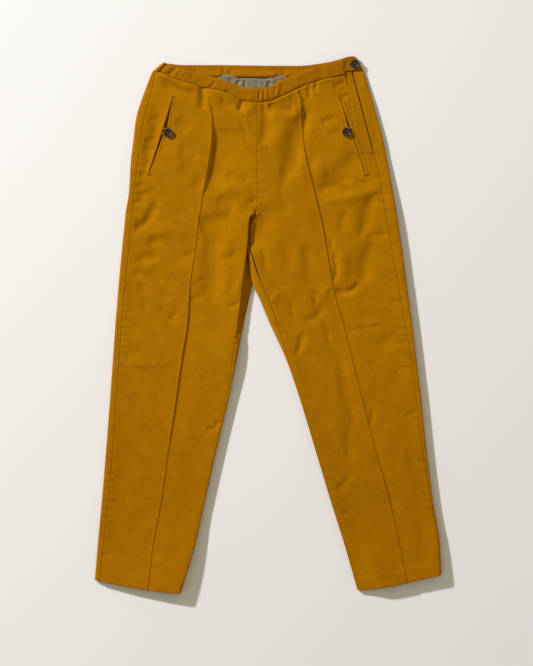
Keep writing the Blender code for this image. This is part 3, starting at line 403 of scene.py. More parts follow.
# %% [markdown]
# The creases of the wearer's right leg, on the left: a deep groove under the band, the long hollow between the
# pintuck and the middle, a J under the pocket, and short folds round the crotch.
# %% Creases of the right leg
RIGHT_CREASES = crease_table("""
2.1 3 3.5 0.15, -151.3 21.9, -132.7 28.6, -114 34.6, -95.4 42.6
-1.6 5 6 0.3, -143.3 31.9, -124.7 38.6, -106.1 44.6, -92.8 48.5
-2.6 4.5 4.5 0.12, -88.8 31.9, -90.1 47.9, -92.1 71.8
-2.2 2 3 0.15, -87.6 39, -88.4 50, -90.4 60.5
1.8 7 8 0.3, -86.1 49.2, -70.2 45.2, -52.9 47.9, -38.2 55.9
-1.5 6 7 0.3, -66.2 57.2, -55.5 59.9, -43.6 63.8
-3.2 3.2 3.5 0.15, -34.2 50.5, -36.9 62.5, -40.2 72.5
1.4 4 6 0.3, -32.9 75.8, -26.3 69.2, -15.6 63.8
-1 1.8 2.2 0.3, -28.9 57.2, -28.7 61.2, -28.3 66.5
-1 2.6 3.2 0.25, -38.2 79.8, -34.2 98.4, -29.6 118.4
-1.5 8 9 0.3, -123.4 81.1, -110.1 86.5, -96.8 94.4
-1.4 8 9 0.3, -116.7 118.4, -103.4 125, -90.1 133
-1.3 6 8 0.3, -91.4 156.9, -96.8 167.6, -102.1 178.2
1 8 9 0.35, -143.3 125, -127.3 138.3, -114 158.3
-1.6 7 8 0.25, -56.9 153, -38.2 156.9, -18.3 163.6
1.9 6 8 0.25, -64.8 164.9, -36.9 174.2, -13 188.9
-1.3 7 8 0.25, -66.2 180.9, -52.9 187.5, -35.6 196.8
-0.8 3 4 0.25, -30.3 196.8, -22.3 194.8, -13 192.9
-2.5 7 14 0.2, -92.8 220.1, -74.1 216.8, -58.2 210.1, -48.9 204.8
-3 5 6 0.18, -153.9 195.5, -159.9 207.5, -167.2 219.5, -180.5 222.8
-1.3 6 6 0.3, -147.3 178.2, -151.3 190.2, -155.9 202.2
-1.5 7 9 0.2, -148.6 55.9, -157.9 109.1, -169.9 162.3
-1 3 3.5 0.3, -163.3 84.5, -152.6 81.8, -142 81.1
-0.7 2.6 3.5 0.3, -157.9 95.8, -152.6 94.4, -147.3 93.8
-1.1 3.4 4 0.3, -164.6 111.1, -156.6 109.1, -148.6 107.1
-1 3 4 0.3, -165.9 127.7, -160.6 123.7, -155.3 122.4
-1.1 3.2 4 0.3, -173.9 158.3, -167.2 156.9, -160.6 154.9
-0.9 3 4 0.3, -176.6 171.6, -168.6 169.6, -160.6 168.2
-1.3 5 6 0.3, -175.2 182.2, -160.6 180.2, -144.6 176.9
-0.9 3 4 0.3, -179.2 192.9, -172.6 191.5, -165.9 188.9
1.3 6 7 0.3, -156.6 228.8, -127.3 226.1, -95.4 231.4
-2.5 5 8 0.2, -159.3 237.4, -143.3 242.7, -127.3 252.7, -112.7 263.3, -94.1 260.7
1.2 6 6 0.35, -179.2 232.8, -164.6 234.1, -148.6 239.4
-2 6 7 0.25, -180.5 271.3, -165.9 264, -146 260
0.5 5 7 0.3, -183.2 275.3, -164.6 274, -146 270
-1.2 4.5 6 0.25, -181.9 285.9, -157.9 288.6, -134 299.2
-2.6 9 15 0.15, -78.1 207.5, -82.1 244.7, -83.5 284.6, -86.1 327.2
1.3 8 10 0.25, -58.2 234.1, -60.8 271.3, -64.8 324.5
-1.4 5 6 0.3, -35.6 259.4, -50.2 264.7, -64.8 271.3
1.2 5 4 0.3, -36.9 274, -39.6 297.9, -42.2 321.9
-1.3 2.5 3 0.3, -54.2 332.5, -46.2 330.5, -35.6 328.5
-1.1 6 9 0.35, -164.6 299.2, -169.9 311.2, -175.2 321.9
-1 6 9 0.35, -164.6 319.2, -168.6 329.8, -171.2 343.1
-1 4 5 0.35, -119.4 335.2, -127.3 344.5, -136.7 353.8
-1 3 4 0.3, -79.5 293.3, -90.1 295.9, -100.7 299.2
-1.1 3 4 0.3, -84.8 319.2, -94.1 321.2, -104.7 324.5
-0.8 5 6 0.35, -143.3 305.9, -132.7 311.2, -122 320.5
-1.1 4.5 6 0.35, -191.2 390.4, -179.2 391, -167.2 388.4
0.8 3 4 0.3, -195.2 409.6, -156.6 407, -119.4 407.6
-0.4 4 6 0.35, -195.2 440.2, -187.2 441.6, -180.5 445.6
-0.4 6 9 0.35, -185.9 454.9, -180.5 470.8, -183.2 489.4
-1.8 2.8 3 0.25, -72.8 486.4, -64.8 485.5, -55.5 484.1
-1.4 2.6 3 0.3, -83.5 494.1, -74.1 493.8, -64.8 492.1
-1 3.5 4 0.4, -207.5 559.7, -197.8 559.9, -187.2 562.1
-1.2 2.5 3 0.3, -220.4 659, -215.1 661.7, -207.1 664.3
-1.1 3.5 4 0.35, -99.4 654.4, -103.4 661, -108.7 669
""")
print("right leg creases:", len(RIGHT_CREASES))

# %% [markdown]
# The left leg has a bulge under the band and a broad diagonal hollow beside it, an arc over the hip, deep J folds
# on the thigh, and long soft folds towards the knee.
# %% Creases of the left leg
LEFT_CREASES = crease_table("""
1.4 6 6 0.3, 8.3 54.5, 21.6 49.2, 36.2 47.9
-2.2 5 5 0.22, 4.3 59.9, 15 66.5, 26.9 68.5, 34.9 63.2
1.9 5 8 0.22, -2.3 77.8, 16.3 77.1, 30.9 71.8, 40.2 59.9
-1.2 2.4 3 0.3, -5 59.9, -5.7 67.8, -7 77.1
-0.9 2 2.6 0.35, 3.7 60.5, 4 69.8, 4.7 80.5
-2 6 7 0.2, -5.7 66.5, -8.3 91.8, -10.3 119.7
1.6 9 9 0.3, 17.6 75.8, 11 98.4, 3 130.3
-4.2 10 8 0.22, 44.2 63.8, 38.9 90.4, 29.6 122.4, 20.3 150.3, 11 172.9
1.2 6 8 0.3, 42.9 122.4, 41.6 145, 42.9 170.2
-0.7 4.5 5.5 0.25, 14.3 163.6, 17 184.9, 19.6 214.1
-2 2.6 3 0.18, 52.9 34.6, 54.9 45.2, 54.9 57.2
-1.7 2.2 2.6 0.18, 62.2 30.6, 63.5 39.9, 63.5 49.2
-1.8 4 4 0.25, 86.8 37.2, 96.1 33.9, 105.4 31.3
-1.1 2.5 3 0.25, 93.4 43.9, 100.1 41.9, 106.7 39.9
-1.5 2 2.5 0.25, 92.1 54.5, 100.1 51.2, 108.1 47.9
-1.5 4 6 0.22, 69.5 87.8, 78.8 83.8, 90.8 79.1
-0.8 3 4 0.25, 81.5 103.7, 89.4 101.7, 98.8 97.1
-2.6 12 12 0.25, 114.7 119.7, 104.1 138.3, 88.1 153, 69.5 163.6
1.2 6 7 0.3, 58.9 138.3, 66.8 154.3, 77.5 162.3
-2.4 5 5 0.18, 65.5 179.6, 78.8 168.2, 92.1 169.6, 113.4 182.2
1.8 4.5 7 0.18, 66.8 185.5, 86.8 187.5, 109.4 186.2, 130.7 177.6, 150.6 167.6
-1.6 3 3.5 0.22, 93.4 162.9, 109.4 161.6, 125.4 166.9, 138.7 166.2
-2.3 6 8 0.2, 140 178.2, 130.7 199.5, 124 220.8, 116 244.7
-1.2 5 6 0.3, 102.7 202.2, 96.1 218.1, 93.4 234.1
-0.9 2.5 3 0.3, 137.3 101.1, 145.3 104.4, 153.3 109.7
-0.7 2.5 3 0.3, 136 111.7, 145.3 114.4, 154.6 115.7
-0.9 2.5 3 0.3, 137.3 127.7, 146.6 130.3, 155.9 133
-2.3 8 9 0.2, 138.7 242.1, 129.3 262, 121.4 282, 117.4 301.9
-2.8 3.5 5 0.25, 120 295.3, 114.7 305.9, 104.1 311.9, 88.1 309.9
1.6 7 7 0.3, 101.4 258, 96.1 276.6, 94.8 297.9
-1.3 4 5 0.25, 128 241.4, 142.6 237.4, 159.9 233.4
-1.9 2.6 3.5 0.25, 88.1 260.7, 90.1 282, 84.1 303.2
-1.2 2.2 3 0.3, 81.1 243.4, 82.3 251.4, 83.3 259.4
-1.4 6 9 0.25, 40.2 248.7, 48.2 272.7, 54.9 300.6, 58.9 320.5
-2.1 5 6 0.25, 73.5 321.9, 68.2 336.5, 57.5 347.8, 46.9 349.8
-1.5 4 5 0.25, 56.9 308.6, 60.2 324.5, 63.5 339.2
1.2 4 5 0.3, 66.8 315.2, 73.5 309.9, 82.8 303.2
-1.1 4 5 0.3, 26.9 328.5, 30.9 340.5, 34.2 353.8
-1.8 3.5 4.5 0.28, 42.9 365.8, 39.6 381.7, 36.9 400.3
-1.1 3 4 0.3, -9 252.7, -7 268.7, -4.3 285.9
1.4 4 5 0.3, 0.3 327.2, 5.7 319.2, 15 309.9
-1.1 7 9 0.3, 16.3 242.1, 20.3 266, 25.6 292.6
-1.3 4 5 0.35, 70.8 343.8, 74.5 363.7, 80.1 391.7
-2.5 8 9 0.22, 79 376, 84.1 388.4, 92.9 420.3, 99.3 445.6, 104.1 470.8, 108.1 497.4
0.5 6 7 0.3, 97.4 393.7, 104.1 424.3, 112.1 457.5
-1.5 6 7 0.3, 105.1 484.4, 104.6 512.1, 99.7 542.6
-1.2 4.5 6 0.32, 113.4 548, 101.4 563.9, 86.8 578.6
-1.2 4 5 0.35, 109.4 599.2, 102.7 603.8, 94.8 607.8
-0.6 2.2 3 0.18, 104.1 367.1, 130.7 359.8, 155.9 353.8
0.7 5 6 0.3, 109.4 357.8, 133.3 351.1, 155.9 345.8
-1.1 2.2 2.8 0.3, 162.6 325.9, 173.2 326.5, 183.9 327.7
-1.3 6 8 0.35, 166.6 365.8, 153.3 375.1, 138.7 385.7
1.1 3 4 0.3, 162.6 385.7, 175.9 387, 190.5 388.4
-0.6 2.5 3 0.3, 173.2 411.4, 183.9 412.3, 194.5 413.4
-0.8 6.5 8 0.3, 177.2 411, 162.6 433.6, 154.6 450.9
-1 2.4 2.8 0.3, 183.9 475.5, 191.9 472.2, 199.8 467.5
-0.6 3 4 0.3, 45.6 450.6, 54.9 451.5, 65.5 452.9
-1 5 6 0.35, 136 526.7, 146.6 545.3, 158.6 563.3
-1.2 3 4 0.3, 134.3 465.5, 136 478.8, 138 493.4
0.8 7 8 0.4, 170.6 497.4, 181.2 550.6, 189.2 603.8
-0.9 7 8 0.4, 195.8 610.5, 203.8 643.7, 207.8 670.3
""")
print("left leg creases:", len(LEFT_CREASES))

# %% [markdown]
# Between the main creases the cloth is never quite flat. Long and short waves at angles drawn once from a fixed
# seed give it that, and short ripples run off every seam, where the thread draws the cloth up.
# %% Small unevenness
waves = np.random.default_rng(11)
WAVE_SETS = ((26, 22, 80), (16, 9, 19))          # how many, shortest, longest
UNEVEN = [(waves.uniform(0, math.pi), waves.uniform(shortest, longest), waves.uniform(0, 2 * math.pi))
          for count, shortest, longest in WAVE_SETS for _ in range(count)]
UNEVEN_HEIGHT = 0.0010               # share of each wave's length


def uneven(across, down):
    total = np.zeros(np.shape(across))
    for angle, length, phase in UNEVEN:
        run = across * math.cos(angle) + down * math.sin(angle)
        bent = run + 5.0 * np.sin((down * math.cos(angle) - across * math.sin(angle)) / length * 1.7 + phase)
        total += UNEVEN_HEIGHT * length * np.sin(2 * math.pi * bent / length + phase)
    return total


def wander(across, down):
    """Where a crease really runs: its line never follows its plan exactly."""
    aside = 1.5 * np.sin((0.35 * across + down) / 9.5 + 1) + 0.5 * np.sin((across - 0.6 * down) / 5.1 + 2)
    along = 1.5 * np.sin((across - 0.4 * down) / 10.7 + 4) + 0.5 * np.sin((0.7 * across + down) / 5.7)
    return across + aside, down + along


def pucker(away, run, height=0.40, reach=9.5, pitch=10.5):
    """Ripples across a seam: away is the distance from it, run the place along it."""
    phase = run / pitch + 0.32 * np.sin(run / 19.0) + 0.21 * np.sin(run / 7.7 + 1.0)
    swing = 0.55 + 0.45 * np.sin(run / 31.0 + 2.0)
    return height * swing * np.exp(-np.abs(away) / reach) * np.cos(2 * math.pi * phase)


print("waves:", len(UNEVEN))

# %% [markdown]
# ## The upper surface
# From fold edge to fold edge the cloth rises like a low cushion: steeply round each side fold, then nearly level.
# Above the crotch the two legs share one body; below it each leg rolls over its inner fold too.
# %% Height of the upper cloth
FOLD_REACH, INNER_REACH, FOLD_SOFT = 4.2, 4.6, 12.0
CREASE_FADE, SMALL_FADE = 8.0, 4.0                             # from a fold, over which relief begins
FOLD_SQUARE, STRIP_SQUARE, LOW_SQUARE = 5.5, 2.6, 4.5          # the last is added below the knee
TROUGH_MOST, RIDGE_MOST = 3.4, 2.2                             # where creases meet, they add up to no more
CROTCH_RADIUS, CROTCH_REACH, LEG_STARTS = 3.95, 6.0, CROTCH + 1.25
SEAM_GAP, SLIT_EXTRA, THIN_STRIP = 0.2, 0.6, 0.8
LEFT, RIGHT = 1, -1
SIDE_NAMES = {RIGHT: "right", LEFT: "left"}
LEGS = {RIGHT: (RIGHT_LEG, RIGHT_HEM, RIGHT_CREASES), LEFT: (LEFT_LEG, LEFT_HEM, LEFT_CREASES)}


def roll(distance, reach, squareness=2.0):
    """0 at a fold, 1 past its reach: 2 is a round fold, more is a squarer one."""
    return np.clip(1 - (1 - np.clip(distance / reach, 0, 1)) ** squareness, 0, 1) ** (1 / squareness)


def strip_width(leg, down):
    """The back's strip between the in-seam and the inner fold, and the reach of the roll over it."""
    strip = np.abs(level(leg, "in_seam", down) - level(leg, "inner_fold", down))
    return strip, np.maximum(INNER_REACH, 1.15 * strip)


def back_strip(leg, down):
    return np.where(down > LEG_STARTS, np.maximum(strip_width(leg, down)[0], THIN_STRIP), 0.0)


def crotch_turn(down):
    """1 at the crotch, where the body's lower edge turns under, and 0 above it."""
    before = np.clip((CROTCH - down) / CROTCH_RADIUS, 0, 1)
    return 1 - np.sqrt(1 - (1 - before) ** 2)


def lowered(side, across, down):
    """How far the cloth lies below the plain form (above it where negative)."""
    leg = LEGS[side][0]
    outer = np.abs(across - level(leg, "outer_fold", down))
    inner = np.abs(across - level(leg, "inner_fold", down))
    if side == LEFT:
        beside = across - level(RIGHT_LEG, "in_seam", down)
        hip = 3.2 * (1 - ease(outer / 58)) * (1 - ease((down - 120) / 110))
        wide = 13.0 - 7.0 * ease((down - 215) / 35)
        dip = np.sin(math.pi / 2 * np.clip(beside / wide, 0, 1)) * swell(np.maximum(beside - wide, 0), 17)
        crotch = 4.2 * dip * ease((down - 192) / 34) * (1 - ease((down - 246) / 18))
        opening = (3.3 - 7.0 * ease(inner / 36)) * ease((down - 610) / 95)
        return hip + crotch + opening
    inside = 1.6 * (1 - ease((inner - 12) / 40)) * ease((down - 203) / 16) * (1 - ease((down - 400) / 60))
    opening = (3.3 - 8.8 * np.clip(outer / 110, 0, 1) ** 0.62) * ease((down - 600) / 110)
    return opening - inside


def thin_edge(side, down):
    """1 where the inner fold is pressed flat and the strip slopes down to it, on the right leg's thigh."""
    return (side == RIGHT) * ease((down - CROTCH) / 8) * (1 - ease((down - 345) / 45))


def half_height(side, down, which):
    """Half the thickness of a leg at its outer or inner fold."""
    at_fold = level(LEGS[side][0], which, down)
    half = (height_of("fold", down) - lowered(side, at_fold, down)) / 2
    thin = thin_edge(side, down) if which == "inner_fold" else 0.0
    return half + (1.0 - half) * thin


def inner_turn(side, inner, down):
    """0 at the inner fold, 1 where the cloth lies level."""
    strip, reach = strip_width(LEGS[side][0], down)
    thin = thin_edge(side, down)
    sloped = np.clip((inner - 0.2) / np.maximum(strip, 0.8), 0, 1) ** 3.0
    square = STRIP_SQUARE + LOW_SQUARE * ease((down - 380) / 60)
    return roll(inner, reach, square) * (1 - thin) + sloped * thin


def upper(side, across, down):
    """Height of the cloth's upper side, in millimetres."""
    leg, _, main_creases = LEGS[side]
    fold, crown = height_of("fold", down), height_of("crown", down)
    outer = np.abs(across - level(leg, "outer_fold", down))
    inner = np.abs(across - level(leg, "inner_fold", down))
    on_leg = down > LEG_STARTS
    reach = strip_width(leg, down)[1]
    by_crotch = np.clip(1 - inner / CROTCH_REACH, 0, 1) ** 1.5
    turned = np.where(on_leg, inner_turn(side, inner, down), 1 - crotch_turn(down) * by_crotch)
    near = swell(np.maximum(outer - FOLD_REACH, 0), FOLD_SOFT)
    near = near + np.where(on_leg, swell(np.maximum(inner - reach, 0), FOLD_SOFT), 0)
    height = crown + (fold - crown) * np.minimum(near, 1) - lowered(side, across, down)
    clear, small = (ease(outer / fade) * np.where(on_leg, ease(inner / fade), 1) for fade in (CREASE_FADE, SMALL_FADE))
    folded = creases(main_creases, *wander(across, down))
    most = np.where(folded > 0, RIDGE_MOST, TROUGH_MOST)
    folded = most * np.tanh(folded / most)
    calm = 1 - 0.45 * ease((down - 380) / 120)              # the lower legs are smoother
    height = height + folded * clear + calm * uneven(across, down) * (0.35 + 0.65 * clear) * small
    height = height + pucker(across - level(leg, "out_seam", down), down) * small
    height = height + pucker(across - level(leg, "in_seam", down), down + 4.0, 0.26) * small
    outer_half = half_height(side, down, "outer_fold")
    inner_half = np.where(on_leg, half_height(side, down, "inner_fold"), fold / 2)
    height = height - (height - outer_half) * (1 - roll(outer, FOLD_REACH, FOLD_SQUARE))
    return height - (height - inner_half) * (1 - turned)


print("height at the knee:", round(float(upper(LEFT, np.array([120.0]), np.array([450.0]))[0]), 2), "mm")

# %% [markdown]
# ## Laying a sheet
# Each piece of cloth starts as Blender's flat grid, and every vertex is then put at its place on the garment.
# The sheet is turned so that its right side faces out, gets its hem turned up where it has one, and then its
# thickness with Solidify.
# %% Sheet helpers
BY_VERTEX, BY_FACE = (True, False, False), (False, False, True)


def pick(piece):
    """Selects one object alone and makes it the active one."""
    for thing in bpy.context.selected_objects:
        thing.select_set(False)
    piece.select_set(True)
    bpy.context.view_layer.objects.active = piece


def edit(piece, *steps, select="SELECT"):
    """Runs steps of mesh editing on one piece, after it is selected, deselected or left as it is."""
    pick(piece)
    bpy.ops.object.mode_set(mode="EDIT")
    if select:
        bpy.ops.mesh.select_all(action=select)
    for step in steps:
        step()
    bpy.ops.object.mode_set(mode="OBJECT")


def modify(piece, kind, **settings):
    """Adds a modifier with its settings and applies it."""
    pick(piece)
    modifier = piece.modifiers.new(kind.lower(), kind)
    for key, value in settings.items():
        setattr(modifier, key, value)
    bpy.ops.object.modifier_apply(modifier=modifier.name)


def dress(piece, material):
    """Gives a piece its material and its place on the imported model."""
    piece.data.materials.clear()
    piece.data.materials.append(material)
    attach(piece, "root")
    print(f"{piece.name}: {len(piece.data.polygons)} faces")
    return piece


def lay_grid(name, places, outward):
    """A grid object through places (rows, columns, across/down/up); outward is the wanted z of its middle."""
    rows, columns = places.shape[:2]
    bpy.ops.mesh.primitive_grid_add(x_subdivisions=columns - 1, y_subdivisions=rows - 1, size=1.0)
    piece = bpy.context.object
    piece.name = piece.data.name = name
    mesh = piece.data
    assert len(mesh.vertices) == rows * columns, (len(mesh.vertices), rows, columns)
    mesh.vertices.foreach_set("co", to_world(places.reshape(-1, 3)).ravel())
    mesh.update()
    normals = np.empty(len(mesh.polygons) * 3)
    mesh.polygons.foreach_get("normal", normals)
    facing = normals.reshape(rows - 1, columns - 1, 3)[outward[0], outward[1], 2]
    if facing * outward[2] < 0:
        edit(piece, bpy.ops.mesh.flip_normals)
    return piece


def to_world(places):
    """Metres in the model's frame, from across, down and up."""
    return np.array([0, LENGTH / 2, 0]) * MM + places * MM * [1, -1, 1]


def outward_normals(places):
    """Unit normals of a grid of places, from its own rows and columns."""
    normal = np.cross(np.gradient(places, axis=1), np.gradient(places, axis=0))
    return normal / np.maximum(np.linalg.norm(normal, axis=-1, keepdims=True), 1e-9)


def finish_cloth(piece, thickness, material, node):
    """Gives a laid sheet its thickness and finish, in place of its CAD solid."""
    pick(piece)
    if thickness:
        modify(piece, "SOLIDIFY", thickness=thickness * MM, offset=-1.0)
    bpy.ops.object.shade_smooth()
    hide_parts(node)
    return dress(piece, material)

# %% [markdown]
# A turned-up hem is part of the same sheet: past the lower edge the cloth bends round inwards and runs back up
# inside for 19 mm, where it is caught with a blind stitch.
# %% Hem
HEM_DEPTH = 19.0
CLOTH = 1.1
HEM_BEND = 0.95                      # half the distance between the hem's two layers
BEND_STEPS = 5


def with_hem(places, sign):
    """Adds the bend and the turned-up part below the last row. sign turns the grid's normals outwards."""
    normals = outward_normals(places) * sign
    down_way = places[-1] - places[-2]
    down_way = down_way / np.linalg.norm(down_way, axis=-1, keepdims=True)
    turns = [math.pi * step / BEND_STEPS for step in range(1, BEND_STEPS + 1)]
    bend = [places[-1] + down_way * HEM_BEND * math.sin(turn) - normals[-1] * HEM_BEND * (1 - math.cos(turn))
            for turn in turns]
    up_rows = 1
    middle = places.shape[1] // 2
    while abs(places[-1 - up_rows, middle, 1] - places[-1, middle, 1]) < HEM_DEPTH:
        up_rows += 1
    turned_up = places[-2:-2 - up_rows:-1] - normals[-2:-2 - up_rows:-1] * 2 * HEM_BEND
    return np.concatenate((places, np.stack(bend), turned_up), axis=0)


def hem_relief(to_hem, across):
    """The hem's two layers stand a little proud, with a dimple at each blind stitch."""
    step = 0.30 * ease((HEM_DEPTH + 0.8 - to_hem) / 1.6)
    dimple = 0.16 + 0.22 * np.maximum(np.cos(2 * math.pi * across / 6.5), 0) ** 3
    return step - swell(to_hem - HEM_DEPTH, 1.1) * dimple

# %% [markdown]
# ## Front panels
# Each front runs from the out-seam to the centre seam and in-seam. Its grid is closest at the seams and beside
# the pintuck. The pintuck is a narrow stitched ridge that leans to one side; beside it the cloth drops away, more
# at the hip and the thigh, and that flank lies in shadow.
# %% Pintuck and seam profiles
PANEL_LINES = {RIGHT: (41, 32), LEFT: (37, 40)}       # grid lines on the left and the right of the pintuck
EDGE_STEPS = np.array([0, 0.25, 0.55, 0.9, 1.3, 1.8, 2.4, 3.2, 4.2])
TUCK_STEPS = np.array([-4.2, -3.2, -2.4, -1.8, -1.35, -1.0, -0.7, -0.4, -0.1, 0.2, 0.5, 0.8, 1.1, 1.45, 1.9, 2.5,
                       3.2, 4.1, 5.2, 6.4, 7.8])
TUCK_COLUMNS = "down drop width"
TUCK_DROP = {
    RIGHT: table(TUCK_COLUMNS, """
40 0.3 1.2, 66 0.5 1.6, 80 1.0 2.8, 94 1.8 4.6, 102 3.6 7.6, 125 4.4 9.0, 150 4.4 9.0, 170 3.2 7.0, 181 1.8 4.6
186 0.6 1.8, 205 0.4 1.4, 300 0.45 1.5, 320 1.2 2.6, 350 1.6 3.2, 430 1.4 3.0, 500 1.2 2.8, 535 0.6 2.2
600 0.5 2.0, 715 0.45 1.7
"""),
    LEFT: table(TUCK_COLUMNS, """
30 0.6 1.6, 50 1.4 3.4, 58 2.4 5.6, 90 2.4 5.8, 99 1.3 3.2, 180 1.2 2.8, 250 1.1 2.6, 290 0.9 2.2, 305 0.6 1.6
400 0.5 1.6, 540 0.5 1.6, 560 0.9 2.3, 600 0.9 2.3, 625 0.6 1.8, 715 0.5 1.6
"""),
}


def pintuck(side, to_right, down):
    ridge = 0.28 * swell(to_right, np.where(to_right < 0, 1.7, 0.7))
    drop, width = (level(TUCK_DROP[side], name, down) for name in ("drop", "width"))
    fall = ease((to_right - 0.1) / width) * swell(np.maximum(to_right - width, 0), 6.0 + 5.0 * drop)
    stitches = 0.08 * np.cos(2 * math.pi * down / 5.2) * swell(to_right - 1.4, 0.9)
    return ridge - drop * fall + stitches


def pressed(down):
    """How flat the in-seam is ironed: not at all on the thigh, nearly quite below the knee."""
    return 0.85 * ease((down - 380) / 80)


def seam_dip(away, depth, reach):
    return -depth * np.clip(1 - away / reach, 0, 1) ** 2


def stand_back(down, slit):
    """How far each edge of the out-seam stays away from it: more along the side opening."""
    return SEAM_GAP / 2 + (SLIT_EXTRA * ease((slit - down) / 4.0) if slit else 0.0)


def front_edges(side, down, slit):
    leg = LEGS[side][0]
    out_seam = level(leg, "out_seam", down) - side * stand_back(down, slit)
    in_seam = level(leg, "inner_fold", down) + side * (back_strip(leg, down) + SEAM_GAP / 2)
    return (out_seam, in_seam) if side == RIGHT else (in_seam, out_seam)


def front_lines(side, down, slit):
    """All grid lines of a front panel at given levels, from left to right."""
    first, last = front_edges(side, down, slit)
    tuck = level(LEGS[side][0], "pintuck", down)

    def between_lines(start, end, count):
        return [start + (end - start) * n / count for n in range(1, count)]

    return ([first + step for step in EDGE_STEPS]
            + between_lines(first + EDGE_STEPS[-1], tuck + TUCK_STEPS[0], PANEL_LINES[side][0])
            + [tuck + step for step in TUCK_STEPS]
            + between_lines(tuck + TUCK_STEPS[-1], last - EDGE_STEPS[-1], PANEL_LINES[side][1])
            + [last - step for step in EDGE_STEPS[::-1]])

# %% [markdown]
# The rows of a front run from the waistband's seam to the hem. Both cross the panel slantwise, so each grid line
# finds its own ends in a few rounds. A short ridge and groove beside the left pocket is the placket's seam.
# %% Lay the front panels
ROW_SHARES = np.concatenate((np.array([0, 0.3, 0.7, 1.2, 1.8, 2.5, 3.4, 4.6]) / 680, np.linspace(6.4 / 680, 1, 326)))
PLACKET_SEAM = crease_table("""
-2.08 1 1.2 0.25, 103.8 21, 105.2 32, 107.2 44
-0.8 1 1.4 0.3, 107 44, 109.5 60, 112 78
""")


def front_panel(side, slit):
    leg, hem, _ = LEGS[side]
    count = len(front_lines(side, np.array([100.0]), slit))
    first, last = np.full(count, 30.0), np.full(count, 700.0)
    for _ in range(6):
        at_top, at_low = (np.array([front_lines(side, ends[k:k + 1], slit)[k][0] for k in range(count)])
                          for ends in (first, last))
        first = seam_at(BAND_SEAM, at_top) + SEAM_GAP / 2
        last = seam_at(hem, at_low) - HEM_BEND
    down = first + (last - first) * ROW_SHARES[:, None]
    across = np.stack([front_lines(side, down[:, k], slit)[k] for k in range(count)], axis=1)
    edges = front_edges(side, down, slit)
    up = upper(side, across, down) + pintuck(side, across - level(leg, "pintuck", down), down)
    seams = [seam_dip(across - edges[0], 0.3, 1.3), seam_dip(edges[1] - across, 0.3, 1.3)]
    seams[1 if side == RIGHT else 0] *= 1 - pressed(down)
    up += seams[0] + seams[1]
    up += seam_dip(down - first, 0.35, 1.2) + 0.6 * swell(down - first - 2.4, 2.0)
    up += hem_relief(last + HEM_BEND - down, across)
    if side == LEFT:
        up += creases(PLACKET_SEAM, across, down)
    return with_hem(np.stack((across, down, up), axis=-1), 1)


front_places = {RIGHT: front_panel(RIGHT, 0.0), LEFT: front_panel(LEFT, SIDE_OPENING)}
print("front grids:", [places.shape for places in front_places.values()])

# %% [markdown]
# ## Pockets
# The pocket mouths are slits, each between two narrow welts. The faces of the panel under the slit are deleted,
# and the welts hide the cut edge, as on the real garment.
# %% The pocket mouths
POCKETS = {
    RIGHT: (-125.4, 54.0, -158.6, 158.0, -132.6, 102.2),
    LEFT: (96.6, 57.0, 130.6, 158.4, 104.8, 101.4),
}
MOUTH_HALF, MOUTH_GAPE = 0.32, 1.5


class Mouth:
    """The straight mouth of a pocket, with places given along it and off it, towards the middle."""

    def __init__(self, side):
        self.side = side
        self.x0, self.y0, self.x1, self.y1, self.bx, self.by = POCKETS[side]
        self.length = math.hypot(self.x1 - self.x0, self.y1 - self.y0)
        self.run = np.array([self.x1 - self.x0, self.y1 - self.y0]) / self.length
        self.off = np.array([self.run[1], -self.run[0]]) * (1.0 if side == RIGHT else -1.0)
        self.button_along = float(np.dot((self.bx - self.x0, self.by - self.y0), self.run))
        self.button_off = float(np.dot((self.bx - self.x0, self.by - self.y0), self.off))

    def place(self, along, off):
        return (self.x0 + self.run[0] * along + self.off[0] * off,
                self.y0 + self.run[1] * along + self.off[1] * off)

    def measure(self, across, down):
        dx, dy = across - self.x0, down - self.y0
        return dx * self.run[0] + dy * self.run[1], dx * self.off[0] + dy * self.off[1]

    def gape(self, along):
        from_button = along - self.button_along
        if self.side == LEFT:
            return MOUTH_HALF + MOUTH_GAPE * swell(from_button + 7, np.where(from_button < -7, 14.0, 6.0))
        above = 4.4 * np.clip(along / (self.button_along - 4), 0, 1) ** 1.6 * (1 - ease((from_button + 6) / 8))
        below = 2.4 * ease(from_button / 5) * (1 - np.clip(from_button / (self.length - self.button_along), 0, 1))
        return MOUTH_HALF + 0.25 + above + below


def open_mouth(piece, mouth):
    """Deletes the panel's faces under the slit."""
    mesh = piece.data
    centres = np.empty(len(mesh.polygons) * 3)
    mesh.polygons.foreach_get("center", centres)
    centres = centres.reshape(-1, 3) / MM
    along, off = mouth.measure(centres[:, 0], LENGTH / 2 - centres[:, 1])
    inside = (along > 1.5) & (along < mouth.length - 1.5) & (off > -2.0) & (off < mouth.gape(along) + 1.2)
    bpy.context.tool_settings.mesh_select_mode = BY_FACE
    edit(piece, select="DESELECT")
    mesh.polygons.foreach_set("select", inside)
    edit(piece, lambda: bpy.ops.mesh.delete(type="FACE"), select=None)
    print(f"{piece.name}: {int(inside.sum())} faces cut out under the pocket mouth")


MOUTHS = {side: Mouth(side) for side in SIDE_NAMES}

# %% [markdown]
# Each front becomes an object, gets its pocket mouth, and then its thickness and finish.
# %% Front panels as objects
for side, name in SIDE_NAMES.items():
    front = lay_grid(f"{name}_front_cloth", front_places[side], (150, 60, 1))
    open_mouth(front, MOUTHS[side])
    finish_cloth(front, CLOTH, panel_moleskin, f"{name}_front")

